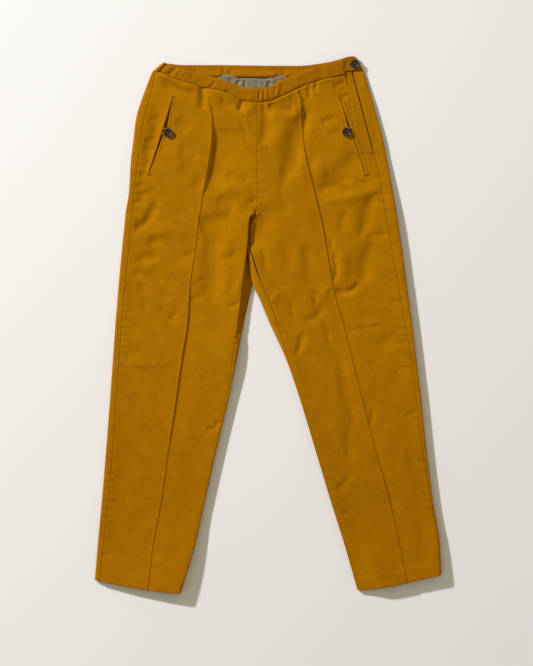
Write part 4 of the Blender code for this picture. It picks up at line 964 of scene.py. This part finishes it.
# %% [markdown]
# ## Back panels
# A back panel starts at the out-seam on the front, rolls over the outer fold, lies on the floor, and rolls over
# the inner fold up to the in-seam. Above the crotch it ends at the centre back seam instead. Underneath, the
# cloth touches the floor and lifts a little in soft folds of its own.
# %% Back panel
BACK_CREASES = crease_table("""
1 8 6 0.35, -60 60, -66 100, -70 150
0.9 7 7 0.35, -120 190, -90 206, -50 214
0.9 7 8 0.35, 20 215, 60 206, 110 190
1 8 6 0.35, 40 70, 46 110, 60 160
0.8 6 6 0.35, -150 260, -110 280, -70 270
0.9 7 6 0.35, 60 290, 100 306, 140 280
0.9 9 8 0.35, -160 380, -150 440, -158 500
0.9 9 8 0.35, 110 390, 120 450, 140 510
0.7 8 7 0.35, -120 560, -150 585, -190 600
0.8 8 7 0.35, 110 570, 150 590, 196 600
""")
OUTER_STEPS = (0, 0.015, 0.035, 0.06, 0.09, 0.13, 0.18, 0.24, 0.31, 0.39, 0.48, 0.58, 0.7, 0.84, 1)
INNER_STEPS = (0.15, 0.3, 0.45, 0.6, 0.72, 0.82, 0.9, 0.96, 1)
BACK_LINES = ([("outer_top", v) for v in OUTER_STEPS] + [("outer_low", a) for a in range(10, 91, 10)]
              + [("flat", n / 52) for n in range(1, 52)] + [("inner_low", a) for a in range(90, -1, -10)]
              + [("inner_top", v) for v in INNER_STEPS])
BACK_SHARES = np.linspace(0, 1, 250)


def back_line(side, kind, value, down, slit):
    leg = LEGS[side][0]
    outer_half, inner_half = (half_height(side, down, which) for which in ("outer_fold", "inner_fold"))
    outer_fold = level(leg, "outer_fold", down)
    inner_fold = level(leg, "inner_fold", down) + side * SEAM_GAP / 2
    if side == LEFT:                 # the left leg lies a little over the right one above the parting
        inner_fold = inner_fold - 1.3 * ease((down - 209) / 5) * (1 - ease((down - 286) / 18))
    thin = thin_edge(side, down)
    reach = strip_width(leg, down)[1] * (1 - thin) + 1.6 * thin
    seam = np.maximum(back_strip(leg, down) - SEAM_GAP, 0.0)
    from_fold = np.maximum(np.abs(level(leg, "out_seam", down) - outer_fold) - stand_back(down, slit), 0.2)
    on_leg = down > LEG_STARTS
    flat_end = inner_fold + side * np.where(on_leg, reach, CROTCH_REACH)
    if kind == "outer_top":
        across = outer_fold - side * from_fold * (1 - value) ** 2
        up = upper(side, across, down)
        up += seam_dip(from_fold - np.abs(across - outer_fold), 0.3, 1.3) * ease(from_fold / 3.0)
        return across, down, up
    if kind == "outer_low":
        turn = math.radians(value)
        return outer_fold - side * FOLD_REACH * (1 - math.cos(turn)), down, outer_half * (1 - math.sin(turn))
    if kind == "flat":
        start = outer_fold - side * FOLD_REACH
        across = start + (flat_end - start) * value
        lift = np.clip(1.6 * creases(BACK_CREASES, across, down), 0, 1.6)
        lift = lift * ease(np.minimum(value, 1 - value) / 0.15)
        return across, down, lift
    turned = crotch_turn(down) * ~on_leg
    if kind == "inner_low":
        turn = math.radians(value)
        share = (1 - value / 90.0 * 0.999) * 0.7
        leg_across = inner_fold + side * reach * (1 - math.cos(turn))
        leg_up = inner_half * (1 - math.sin(turn))
    else:
        share = 0.7 + 0.3 * value
        leg_across = inner_fold + side * (seam + 1.8 * thin) * value ** 2
        leg_up = upper(side, leg_across, np.maximum(down, CROTCH + 2.5))
        leg_up += seam_dip(seam * (1 - value ** 2), 0.25, 1.2) * ease(seam / 3.0) * (1 - pressed(down))
        leg_up -= 1.9 * thin * value ** 6
    body_across = inner_fold + side * CROTCH_REACH * (1 - share)
    body_up = (height_of("fold", down) / 2 - SEAM_GAP) * turned * share ** 1.5
    return np.where(on_leg, leg_across, body_across), down, np.where(on_leg, leg_up, body_up)


def back_panel(side, slit):
    leg, hem, _ = LEGS[side]
    lines = []
    for kind, value in BACK_LINES:
        first, last = 24.0, 700.0
        for _ in range(5):
            ends = back_line(side, kind, value, np.array([first, last]), slit)[0]
            first = float(back_seam(side, kind, ends[0])) + SEAM_GAP
            last = float(seam_at(hem, ends[1])) - HEM_BEND - 0.8
        lines.append(np.stack(np.broadcast_arrays(
            *back_line(side, kind, value, first + (last - first) * BACK_SHARES, slit)), axis=-1))
    return with_hem(np.stack(lines, axis=1), side)


def back_seam(side, kind, across):
    """Where the back meets its waistband: across the floor, or from the side fold to the out-seam."""
    if kind != "outer_top":
        return seam_at(BACK_SEAM, across)
    fold = [BACK_SEAM[name][0 if side == RIGHT else -1] for name in ("across", "down")]
    end = BACK_SEAM_ENDS[side]
    return fold[1] + (end[1] - fold[1]) * np.clip((across - fold[0]) / (end[0] - fold[0]), 0, 1)


for side, name in SIDE_NAMES.items():
    back = lay_grid(f"{name}_back_cloth", back_panel(side, SIDE_OPENING if side == LEFT else 0.0), (120, 45, -1))
    finish_cloth(back, CLOTH, panel_moleskin, f"{name}_back")

# %% [markdown]
# ## Waistband
# The front waistband is a double strip with elastic inside. It dips in the middle and is gathered at both ends
# and at the centre. Its section goes up the front, over the soft top edge and down inside.
# %% Waistband helper
# Each row: across and down of the top edge, across and down of the lower one, and the height.
FRONT_BAND = numbers("""
-137 10.4 -147.5 22 6.3, -126 14 -134.5 25.4 6.9, -105 19 -112 33.2 7.2, -81 25.6 -88 41.1 7.2
-64 29.8 -66 44.6 7.4, -47.5 35.8 -50 50.3 7.4, -33 40.7 -33 58.3 7.4, -17.8 42.8 -15 61.5 7.4, -0.7 41.3 2 59.9 7.4
15 33 19.5 52.9 7.4, 38.2 23.7 44 41.3 7.4, 65.4 13.4 70.5 31.7 7.5, 90 6.2 94.5 25.2 8, 102.4 2 103 23.2 8.3
""")
BAND_SHARES = numbers("0 0.02 0.05 0.09 0.14 0.21 0.3 0.4 0.5 0.6 0.7 0.79 0.87 0.93 0.97 1")[0]
FACE_RISE = 0.35                     # the face is soft between its edges
BAND_HALF, BAND_LAYER = 1.1, 0.8     # half the band's thickness, and one layer of it


def band_sheet(stations, normals, face_relief, inner_relief, seam_depth=0.7):
    """Rows along the band; columns from the outer seam edge over the top edge to the inner one."""
    top, low = stations[:, [0, 1, 4]], stations[:, [2, 3, 4]]
    width = np.linalg.norm(low - top, axis=1)
    way = (low - top) / width[:, None]
    run = run_along((top + low) / 2)
    r = BAND_HALF * (0.6 + 0.4 * roll(np.minimum(run, run[-1] - run), 1.6))          # thinner at both ends
    thinner = BAND_HALF - r
    lines = []
    for share in BAND_SHARES:                               # outer face, from the seam up
        away = r + (width - r) * (1 - share)
        place = top + way * away[:, None]
        rise = FACE_RISE * (1 - (2 * share - 1) ** 2) + seam_dip(away - r, 0.25, 1.5)
        rise = rise + seam_dip(width - away, seam_depth, 2.2 + seam_depth) + face_relief(place[:, 0], place[:, 1])
        lines.append(place + normals * (rise - thinner)[:, None])
    edge = lines[-1] - (top + way * r[:, None]) + normals * thinner[:, None]
    for step in range(1, 8):                                # over the top edge
        turn = math.pi * step / 8
        away = r - r * math.sin(turn)
        sink = r * (1 - math.cos(turn)) + thinner
        keep = 0.5 + 0.5 * math.cos(turn)
        lines.append(top + way * away[:, None] - normals * sink[:, None] + edge * keep)
    for share in BAND_SHARES[::-1]:                         # inner face, down to its seam
        place = top + way * (r + (width - r) * (1 - share))[:, None]
        rise = -2 * r - thinner - inner_relief(place[:, 0], place[:, 1]) * ease((1 - share) / 0.2)
        lines.append(place + normals * rise[:, None])
    return np.stack(lines, axis=1)

# %% [markdown]
# The gathers of the front waistband are narrow creases. Its lower seam is deepest in the middle and on the left,
# where the panel puffs out below it.
# %% Front waistband
FRONT_GATHERS = crease_table("""
-1.7 2.2 2.5 0.2, -120.7 13.3, -127.3 18.6, -134 25.9
0.5 1.6 1.6 0.25, -128.7 12, -134.7 16.6, -139.3 22.6
-0.5 1.4 1.6 0.25, -115.4 17.3, -119.4 22.6, -122.7 28.6
-0.5 2 2 0.3, -101.5 21.5, -102.6 25.9, -104.1 31
0.4 3 3 0.3, -95.4 23.9, -98.1 29.3, -99 34
0.5 2 1.8 0.2, -72 30.1, -78.1 35, -85.1 41
-0.6 1.6 1.8 0.2, -68.8 33.2, -74.9 38.6, -79.5 43
0.4 2.5 2.5 0.3, -58.2 35.9, -60 42, -60 46.9
-0.8 3.5 4 0.3, -48.9 41.2, -55.5 47.2, -62.8 53.2
0.5 3 2 0.35, -18.3 50, -24 55.1, -30 59.9
-1.2 1.3 1.4 0.2, -11.9 43.9, -12.4 51.9, -13 60.5
0.5 1.4 1.4 0.2, -9 43.9, -9.4 51.9, -9.4 59.9
-0.8 1 1.2 0.2, -5.8 43.9, -5.8 51.9, -5.8 59.9
-0.7 1.1 1.2 0.2, 0.3 42.6, 1 50.5, 1.7 59.1
-0.6 1.2 1.3 0.2, 7.8 39, 8.7 46.9, 9.9 55.9
1 1.6 1.8 0.2, 14.4 35.5, 12.6 45, 9.9 55.9
-0.5 2 2 0.3, 19 33, 18 42, 16 51.9
-0.9 5 6 0.35, 38.9 26.6, 48.2 29.3, 60.2 33.2
-0.7 4 5 0.35, 64.2 13.3, 72.2 18.6, 80.1 23.9
0.4 4 4 0.35, 74 13, 76.9 21, 78.8 27.9
-0.7 0.9 0.9 0.2, 100.1 4, 101 13, 101.1 21.9
""")
front_stations = soft_line(FRONT_BAND, 340, by=(FRONT_BAND[:, 0:2] + FRONT_BAND[:, 2:4]) / 2)
at = front_stations[:, 2]
front_stations[:, 3] = seam_at(BAND_SEAM, at) - SEAM_GAP / 2
front_stations[:, 4] -= lowered(LEFT, at, front_stations[:, 3]) * (at > 0)
upwards = np.tile([0.0, 0.0, 1.0], (len(front_stations), 1))
front_seam_depth = 0.6 + 1.7 * swell(at, 15) + 1.3 * swell(at - 46, 22) - 0.5 * ease((at - 76) / 12)
front_band = lay_grid("front_waistband_cloth", band_sheet(
    front_stations, upwards,
    lambda x, y: creases(FRONT_GATHERS, x, y) + 0.8 * uneven(x * 1.4, y * 1.4),
    lambda x, y: 0.4 * creases(FRONT_GATHERS, x, y), front_seam_depth), (100, 8, 1))
finish_cloth(front_band, BAND_LAYER, band_moleskin, "waistband_front")

# %% [markdown]
# The back waistband lies face down on the floor, so its inside shows above the front one. At both ends it rolls
# over the side folds: on the wearer's right up to the front waistband, on the left on under the tab.
# %% Back waistband
BACK_BAND = numbers("""
-132 9.6 -143.5 22.4 0, -110 11.4 -113 26.8 0, -70 11.4 -70 27.3 0, -20 12 -14.3 27.8 0, 40 12.4 40 27.3 0
76 8.4 78 24.9 0, 98 3.2 104 21.6 0, 109 1 120 20 0
""")
RIGHT_FOLD_TOP, LEFT_FOLD_TOP = 6.4, 3.4
RIGHT_BAND_FOLD = (-139.6, 8.2, -153.2, 19.6)
LEFT_BAND_FOLD = (116.6, 0.6, 128.2, 19.6)
RIGHT_BAND_END = (-137.3, 10.0, -147.8, 21.6)
LEFT_BAND_END = (104.6, 1.6, 105.6, 19.6)
FACING_CREASES = crease_table("""
0.5 2.2 2 0.25, -55 14, -56 19, -57 24
-0.5 1.6 1.8 0.25, -58.6 15, -60 20, -61 25
0.4 5 3 0.3, -95 17, -60 20, -20 22, 30 20
-0.4 3 3 0.3, -30 15, 0 17, 30 15
0.4 2 2 0.3, 12 14, 14 19, 15 25
-0.4 2 2 0.3, 46 12, 48 16, 49 21
""")


def fold_stations(fold, flat, rising, turns, top):
    """Stations of a band round a side fold, from the flat part on the floor up to its top."""
    toward = np.array(flat[:4]) - fold
    size = math.hypot((toward[0] + toward[2]) / 2, (toward[1] + toward[3]) / 2)
    return [(*(fold + toward / size * FOLD_REACH * (1 - math.cos(turn))), top / 2 * (1 + rising * math.sin(turn)))
            for turn in np.radians(turns)]


def facing_edge(across, down):
    """The facing stands up along its lower edge, except where the lining's pillows lie over it."""
    stands = 1 - swell(across + 54, 8, 4) - swell(across - 17, 6, 4)
    return 1.9 * stands * swell(down - 25.2, 5.0) * (np.abs(across + 15) < 80)


turns = list(range(0, 91, 10))
left_end = np.array([*LEFT_BAND_END, LEFT_FOLD_TOP + 0.6])
back_floor = soft_line(BACK_BAND, 190, by=(BACK_BAND[:, 0:2] + BACK_BAND[:, 2:4]) / 2)
back_floor[:, 3] = seam_at(BACK_SEAM, back_floor[:, 2]) - SEAM_GAP
left_rise = fold_stations(LEFT_BAND_FOLD, LEFT_BAND_END, 1, turns[1:], LEFT_FOLD_TOP)
left_run = [left_rise[-1] + (left_end - left_rise[-1]) * share for share in np.linspace(0.06, 1, 14)]
back_stations = np.array([
    (*RIGHT_BAND_END, RIGHT_FOLD_TOP), *fold_stations(RIGHT_BAND_FOLD, BACK_BAND[0], 1, turns[:0:-1], RIGHT_FOLD_TOP),
    *fold_stations(RIGHT_BAND_FOLD, BACK_BAND[0], -1, turns, RIGHT_FOLD_TOP), *back_floor,
    *fold_stations(LEFT_BAND_FOLD, BACK_BAND[-1], -1, turns[::-1], LEFT_FOLD_TOP), *left_rise, *left_run])
middle = (back_stations[:, 0] + back_stations[:, 2]) / 2
gaps = np.concatenate(([True], np.abs(np.diff(middle)) + np.abs(np.diff(back_stations[:, 4])) > 0.05))
back_stations, middle = back_stations[gaps], middle[gaps]
run_across, run_up = np.gradient(middle), np.gradient(back_stations[:, 4])
back_normals = np.stack((run_up, 0 * run_up, -run_across), axis=1)
back_normals[back_stations[:, 4] < 0.01] = (0, 0, -1)
back_normals /= np.linalg.norm(back_normals, axis=1, keepdims=True)
back_places = band_sheet(
    back_stations, back_normals, lambda x, y: np.full(np.shape(x), -FACE_RISE),
    lambda x, y: 1.6 * creases(FACING_CREASES, x, y) + 0.7 * uneven(x * 1.3, y) + facing_edge(x, y))
back_places[..., 2] = np.maximum(back_places[..., 2], 0.0)
back_band = lay_grid("back_waistband_cloth", back_places, (100, 8, -1))
finish_cloth(back_band, BAND_LAYER, band_moleskin, "waistband_back")

# %% [markdown]
# ## Lining
# A strip of thin grey cotton shows inside the back waist. It is drawn up by the elastic behind it, so it stands
# in soft pillows with sharp valleys between them, and its top edge is scalloped.
# %% Back lining
LINING_TOP = table("across down", """
-84 28.2, -64.8 27.6, -60.8 25.8, -55.5 24, -50.2 24.8, -43.6 26.4, -37.5 29.6, -32.9 28.6, -23.6 28.9, -15.6 28.9
-7.6 29.8, -2.3 29.7, 3 28.2, 9.6 27.8, 16.3 25.4, 21.6 26.6, 26.9 28.6, 52 28.6
""")
LINING_VALLEYS = crease_table("""
-1.4 1.6 1.4 0.1, -70 28, -68 38, -67 50
-0.6 2.6 2.6 0.1, -52 29, -50 38, -49 50
-1.3 2.4 1.6 0.1, -37.5 31, -41 36, -45 44
-1.9 1.2 1.1 0.08, -31.2 31.6, -31.8 36, -31 46
-0.5 3 3 0.1, -15.4 32, -16 38, -15.5 48
-0.4 2.2 2.2 0.1, -7 33, -8 40, -9 50
-1.8 1.6 2.4 0.08, 1 33, -1 40, -3 48
-0.6 2.2 2.6 0.1, 12 29.5, 9 36, 6 44
-0.5 2.2 2.6 0.1, 21.5 28.5, 18 34, 15 42
-1.2 1.8 1.8 0.1, 34 28, 32 34, 30 42
""")
LINING_MIDDLE, LINING_DEPTH, LINING_UP = -15, 18.0, 2.45
lining_across = np.linspace(-84, 52, 210)
lining_shares = np.concatenate(([0, 0.02, 0.05, 0.09, 0.14, 0.2], np.linspace(0.27, 1, 16)))[:, None]
x = np.broadcast_to(lining_across, (len(lining_shares), len(lining_across)))
y = seam_at(LINING_TOP, x) + (LINING_DEPTH - 4.0 * np.abs(x - LINING_MIDDLE) / 65) * lining_shares
over_facing = (swell(x + 54, 9, 4) + swell(x - 17, 7, 4)) * np.exp(-np.maximum(y - 27, 0) / 4)
z = LINING_UP + 1.3 * roll(lining_shares * LINING_DEPTH, 3.0) + 0.9 * over_facing
z = np.maximum(z + 1.6 * creases(LINING_VALLEYS, x, y) + 0.5 * uneven(x * 2.2, y * 2.2), LINING_UP - 0.1)
lining = lay_grid("back_lining_cloth", np.stack((x, y, z), axis=-1), (10, 100, 1))
finish_cloth(lining, 0.4, lining_cotton, "back_lining")

# %% [markdown]
# ## Waist tab
# A pointed tab runs on from the front waistband over the side opening. Its edges are turned in and stitched
# down, so they are thicker and rounded, and a buttonhole shows at the button's side.
# %% Waist tab
TAB = table("across top_down low_down", """
103.3 1.2 20.2, 108 0.5 20.2, 112.5 0 19.9, 116 0.5 18.9, 118.8 2.9 17.7, 121 6.4 16.2, 122.4 9.6 14.6, 123 11.4 13.4
""")
TAB_START, TAB_POINT, TAB_HEIGHT, TAB_SLOPE = TAB["across"][0], TAB["across"][-1], 8.35, 0.3
BUTTONHOLE = (109.6, 11.2)


def tab_level(x, y):
    """The height of the tab's plain face, which slopes down a little towards the point."""
    return TAB_HEIGHT - lowered(LEFT, x, y) - TAB_SLOPE * ease((x - 104) / 14)


tab_across = np.concatenate((np.linspace(TAB_START, 121.0, 34), np.linspace(121.3, TAB_POINT, 12)))
half_shares = np.array([0, 0.015, 0.035, 0.06, 0.09, 0.12, 0.16, 0.21, 0.28, 0.36, 0.44, 0.5])
tab_shares = np.concatenate((half_shares, [0.56, 0.64, 0.72, 0.79, 0.84, 0.88, 0.91, 0.94, 0.965, 0.985, 1.0]))
x = np.broadcast_to(tab_across, (len(tab_shares), len(tab_across)))
tab_top, tab_low = (read(TAB, "across", name, tab_across) for name in ("top_down", "low_down"))
y = tab_top + (tab_low - tab_top) * tab_shares[:, None]
edge = np.minimum(np.minimum(y - tab_top, tab_low - y) * 0.9, (TAB_POINT + 0.1 - x) * 0.85)
turned_in = 0.12 * swell(edge - 1.1, 0.6) - 0.9 * (1 - roll(edge, 1.1)) - 0.22 * swell(edge - 2.0, 0.45)
joint = seam_dip(x - TAB_START, 0.7, 1.6) - 0.2 * swell(x - TAB_START - 2.6, 0.5)
hole = 0.7 * swell(x - BUTTONHOLE[0], 1.5) * swell(y - BUTTONHOLE[1], 0.55)
z = tab_level(x, y) + turned_in + joint - hole + 0.25 * uneven(x * 2, y * 2)
tab = lay_grid("waist_tab_cloth", np.stack((x, y, z), axis=-1), (10, 20, 1))
finish_cloth(tab, 1.3, band_moleskin, "waist_tab")

# %% [markdown]
# ## Welts and loops
# Each welt is a narrow strip folded double: its outer edge lies on the panel and its inner edge rolls down into
# the mouth. Both ends are caught with a small bar tack. The loop is a fine tube of cloth that comes out of the
# mouth and goes round the button's stem.
# %% Welts and loops
OUTER_WELT, INNER_WELT = 4.6, 3.0
# Each pair: the share of the width from the outer edge, and the height.
WELT_SECTION = numbers("""
0 0.02, 0.05 0.10, 0.12 0.20, 0.22 0.30, 0.34 0.38, 0.5 0.44, 0.7 0.46, 0.85 0.40, 0.94 0.26, 0.985 0.04
1 -0.3, 1 -0.8, 0.98 -1.4, 0.93 -2.1
""")


def welt(mouth, name, width, mouth_edge, direction):
    run = np.linspace(0, mouth.length, 90)
    ends = roll(np.minimum(run, mouth.length - run) + 0.15, 2.0)
    ripple = 0.06 * np.cos(2 * math.pi * run / 9.0) + 0.048 * np.cos(2 * math.pi * run / 5.3 + 1)
    lines = []
    for share, lift in WELT_SECTION:
        across, down = mouth.place(run, mouth_edge(run) + direction * width * (1 - share))
        rise = lift * (0.45 + 0.55 * ends) if lift > 0 else lift * ends
        up = upper(mouth.side, across, down) + rise + ripple * (lift > 0.25)
        lines.append(np.stack((across, down, up), axis=-1))
    piece = lay_grid(name, np.stack(lines, axis=0), (5, 40, 1))
    return finish_cloth(piece, 0.5, panel_moleskin, name.replace("_cloth", ""))


LOOP_RADIUS, LOOP_HALF_WIDE, LOOP_HALF_THICK = 4.3, 1.15, 0.62


def pocket_loop(mouth, name):
    """A flat tube of cloth out of the mouth and round the button's stem."""
    centre = mouth.button_off - 1.6
    turns = np.radians(np.linspace(-96, 96, 25))
    along = np.concatenate(([-3.6, -4.0], np.sin(turns) * LOOP_RADIUS, [4.0, 3.6])) + mouth.button_along
    off = np.concatenate(([-0.4, centre - 1.6], np.cos(turns) * LOOP_RADIUS + centre, [centre - 1.6, -0.4]))
    along, off = soft_line(np.stack((along, off), axis=1), 44).T
    across, down = mouth.place(along, off)
    up = upper(mouth.side, across, down) + 0.75 + 0.8 * (1 - np.clip((off - 0.2) / 2.6, 0, 1))
    path = np.stack((across, down, up), axis=-1)
    sideways = np.cross(np.gradient(path, axis=0), [0, 0, 1.0])
    sideways /= np.linalg.norm(sideways, axis=1, keepdims=True)
    ring = [path + sideways * LOOP_HALF_WIDE * math.cos(a) + np.array([0, 0, LOOP_HALF_THICK]) * math.sin(a)
            for a in np.linspace(0, 2 * math.pi, 15)]
    piece = lay_grid(name, np.stack(ring, axis=1), (20, 2, 1))
    bpy.context.tool_settings.mesh_select_mode = BY_VERTEX
    edit(piece, lambda: bpy.ops.mesh.remove_doubles(threshold=0.00001))
    edit(piece, bpy.ops.mesh.select_non_manifold, bpy.ops.mesh.edge_face_add, select="DESELECT")
    edit(piece, lambda: bpy.ops.mesh.normals_make_consistent(inside=False))
    return finish_cloth(piece, 0.0, band_moleskin, name.replace("_cloth", ""))


for side, name in SIDE_NAMES.items():
    mouth = MOUTHS[side]
    outer = welt(mouth, f"{name}_pocket_outer_welt_cloth", OUTER_WELT, lambda run: -MOUTH_HALF + 0 * run, -1)
    inner = welt(mouth, f"{name}_pocket_inner_welt_cloth", INNER_WELT, mouth.gape, 1)
    loop = pocket_loop(mouth, f"{name}_pocket_loop_cloth")

# %% [markdown]
# ## Buttons
# A horn-like button is turned from a blank: a disc with a raised, rounded rim and a dished middle with four
# drilled holes. A cylinder's top is inset for the rim, the dish and its floor, its edges are bevelled, and four
# thin cylinders are taken away from it.
# %% Buttons
BUTTON_RADIUS, BUTTON_THICK, BUTTON_DISH = 5.75, 2.2, 1.0
INSETS = ((1.15, 0.0), (0.75, -BUTTON_DISH), (0.9, -0.05))      # width and depth of the rim, the dish and its floor
HOLE_RADIUS, HOLE_AWAY = 0.62, 1.45
HOLE_ANGLES = [math.radians(45 + 90 * k) for k in range(4)]


def button(name, across, down, low):
    centre = to_world(np.array([across, down, low + BUTTON_THICK / 2]))
    bpy.ops.mesh.primitive_cylinder_add(vertices=56, radius=BUTTON_RADIUS * MM, depth=BUTTON_THICK * MM,
                                        location=centre)
    piece = bpy.context.object
    piece.name = piece.data.name = name
    bpy.ops.object.transform_apply(location=True, rotation=False, scale=False)
    bpy.context.tool_settings.mesh_select_mode = BY_FACE
    edit(piece, select="DESELECT")
    max(piece.data.polygons, key=lambda face: face.center.z).select = True
    bpy.ops.object.mode_set(mode="EDIT")
    for width, depth in INSETS:
        bpy.ops.mesh.inset(thickness=width * MM, depth=depth * MM)
    bpy.ops.object.mode_set(mode="OBJECT")
    modify(piece, "BEVEL", width=0.45 * MM, segments=4, limit_method="ANGLE", angle_limit=math.radians(25))
    for angle in HOLE_ANGLES:
        away = HOLE_AWAY * MM * np.array([math.cos(angle), math.sin(angle)])
        bpy.ops.mesh.primitive_cylinder_add(vertices=18, radius=HOLE_RADIUS * MM, depth=8 * MM,
                                            location=(*(centre[:2] + away), (low + BUTTON_THICK) * MM))
        drill = bpy.context.object
        modify(piece, "BOOLEAN", operation="DIFFERENCE", object=drill)
        bpy.data.objects.remove(drill)
    pick(piece)
    bpy.ops.object.shade_smooth_by_angle(angle=math.radians(40))
    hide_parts(name.replace("_turned", ""))
    return dress(piece, button_horn)


WAIST_BUTTON, BUTTON_SINK = (115.8, 10.5), 0.15
BUTTONS = []
for side, name in SIDE_NAMES.items():
    mouth = MOUTHS[side]
    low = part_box(f"{name}_pocket_button")[0][2] / MM - float(lowered(side, mouth.bx, mouth.by)) - 1.6
    BUTTONS.append((mouth.bx, mouth.by, low))
    button(f"{name}_pocket_button_turned", *BUTTONS[-1])
BUTTONS.append((*WAIST_BUTTON, TAB_HEIGHT - BUTTON_SINK - float(lowered(LEFT, *WAIST_BUTTON))))
button("waist_button_turned", *BUTTONS[-1])

# %% [markdown]
# ## Stitches
# Sewing thread shows on the placket beside the side opening, round the tab, as bar tacks at the ends of the
# opening and the pockets, and as the thread through the buttons. One stitch is a short round bar with
# tapered ends; it is modelled once and copied along each line.
# %% Stitch helper
STITCH_SIDES = 5
STITCH_RINGS = ((0.0, 0.35, 0.9), (0.18, 0.95, 0.0), (0.82, 0.95, 0.0), (1.0, 0.35, 0.9))   # share, size, sink


def stitch_points(start, end, thick):
    """Vertices of one stitch, as rings round the line from start to end."""
    start = np.array(start, float)
    way = end - start
    side = np.cross(way, [0, 0, 1.0])
    over = np.cross(side, way)
    side, over = side / np.linalg.norm(side), over / np.linalg.norm(over)
    angles = [2 * math.pi * k / STITCH_SIDES for k in range(STITCH_SIDES)]
    return [start + way * share - np.array([0, 0, sink * thick])
            + (side * math.cos(a) + over * math.sin(a)) * thick / 2 * size
            for share, size, sink in STITCH_RINGS for a in angles]


def sew(name, stitches, material, thick):
    """One mesh of many stitches, each from start to end (across, down, up)."""
    n, last = STITCH_SIDES, STITCH_SIDES * (len(STITCH_RINGS) - 1)
    tube = [(r + k, r + (k + 1) % n, r + n + (k + 1) % n, r + n + k) for r in range(0, last, n) for k in range(n)]
    tube += [tuple(range(n))[::-1], tuple(range(last, last + n))]
    vertices = np.concatenate([stitch_points(start, end, thick) for start, end in stitches])
    faces = [[first + corner for corner in face] for first in range(0, len(vertices), last + n) for face in tube]
    mesh = bpy.data.meshes.new(name)
    mesh.from_pydata(to_world(vertices).tolist(), [], faces)
    piece = bpy.data.objects.new(name, mesh)
    bpy.context.scene.collection.objects.link(piece)
    edit(piece, lambda: bpy.ops.mesh.normals_make_consistent(inside=False))
    bpy.ops.object.shade_smooth()
    return dress(piece, material)


def stitch_line(path, height, length=2.1, gap=0.7):
    """Stitches along a path of (across, down), lying at height(across, down)."""
    run = run_along(path)
    starts = np.arange(0.4, run[-1] - length, length + gap)
    return [[(x, y, height(x, y)) for x, y in zip(*(np.interp((at, at + length), run, values) for values in path.T))]
            for at in starts]


def on_panel(side, lift=0.03):
    return lambda x, y: float(upper(side, np.array([x]), np.array([y]))[0]) + lift


def bar_tack(centre, way, half, side, count, wide, lift):
    """A dense row of stitches across a line."""
    way = np.array(way, float) / np.hypot(*way)
    reach = np.array([-way[1], way[0]]) * wide / 2
    middles = [np.array(centre) + way * half * share for share in np.linspace(-1, 1, count)]
    return [[(*p, on_panel(side, lift)(*p)) for p in (middle - reach, middle + reach)] for middle in middles]

# %% [markdown]
# Two rows run down the placket, one row goes round the tab, and a second one closes it. The button's thread is
# crossed through its four holes.
# %% Sewing
placket_inner = numbers("104.9 24.5, 108 44.5, 114.4 68, 119 87, 125 110.8")
placket_stitches = [stitch for path in (placket_inner, placket_inner + [2.7, 0])
                    for stitch in stitch_line(path, on_panel(LEFT))]
placket_stitches += bar_tack((132.6, 127.6), (1.0, -0.05), 8.0, LEFT, count=15, wide=1.3, lift=0.12)
sew("placket_stitching", placket_stitches, stitch_thread, thick=0.4)
tab_edge = numbers("""
104.6 18.4, 110 18.3, 113.5 17.9, 116.6 16.9, 119 15.6, 120.7 13.6, 120.8 11.6, 119.6 8.2, 117.6 4.8, 115.4 2.6
112 2.1, 108 2.5, 104.6 3, 104.7 10, 104.6 18.4
""")
tab_stitches = [stitch for path in (tab_edge, numbers("106.6 3, 106.8 18"))
                for stitch in stitch_line(path, lambda x, y: float(tab_level(x, y)) + 0.07, length=1.7, gap=0.6)]
sew("tab_stitching", tab_stitches, stitch_thread, thick=0.45)
for side, name in SIDE_NAMES.items():
    mouth = MOUTHS[side]
    tacks = [stitch for along in (0.0, mouth.length)
             for stitch in bar_tack(mouth.place(along, -0.6), mouth.off, 3.2, side, count=11, wide=1.2, lift=0.6)]
    sew(f"{name}_pocket_tacks", tacks, stitch_thread, thick=0.4)
d = HOLE_AWAY * math.cos(HOLE_ANGLES[0]) + 0.1
crossed_thread = np.array([[(-d, -d, 0.0), (d, d, 0.1)], [(-d, d, 0.0), (d, -d, 0.1)]])
threads = [ends + [across, down, low + BUTTON_THICK - BUTTON_DISH + 0.12]
           for across, down, low in BUTTONS for ends in crossed_thread]
sew("button_threads", threads, button_thread, thick=0.7)

# %% [markdown]
# ## Floor
# The trousers lie on a plain pale surface.
# %% Floor
bpy.ops.mesh.primitive_plane_add(size=14.0, location=(0, 0, 0))
floor = bpy.context.object
floor.name = "floor"
paper, tree, shader = new_material("backdrop_paper", Roughness=0.9, Specular_IOR_Level=0.1)
place = add_node(tree, "TexCoord")
clouds = noise(tree, place, "Object", Scale=3.0)
between(tree, shader, clouds, "Fac", (0.775, 0.758, 0.728, 1), (0.790, 0.772, 0.742, 1))
floor.data.materials.append(paper)
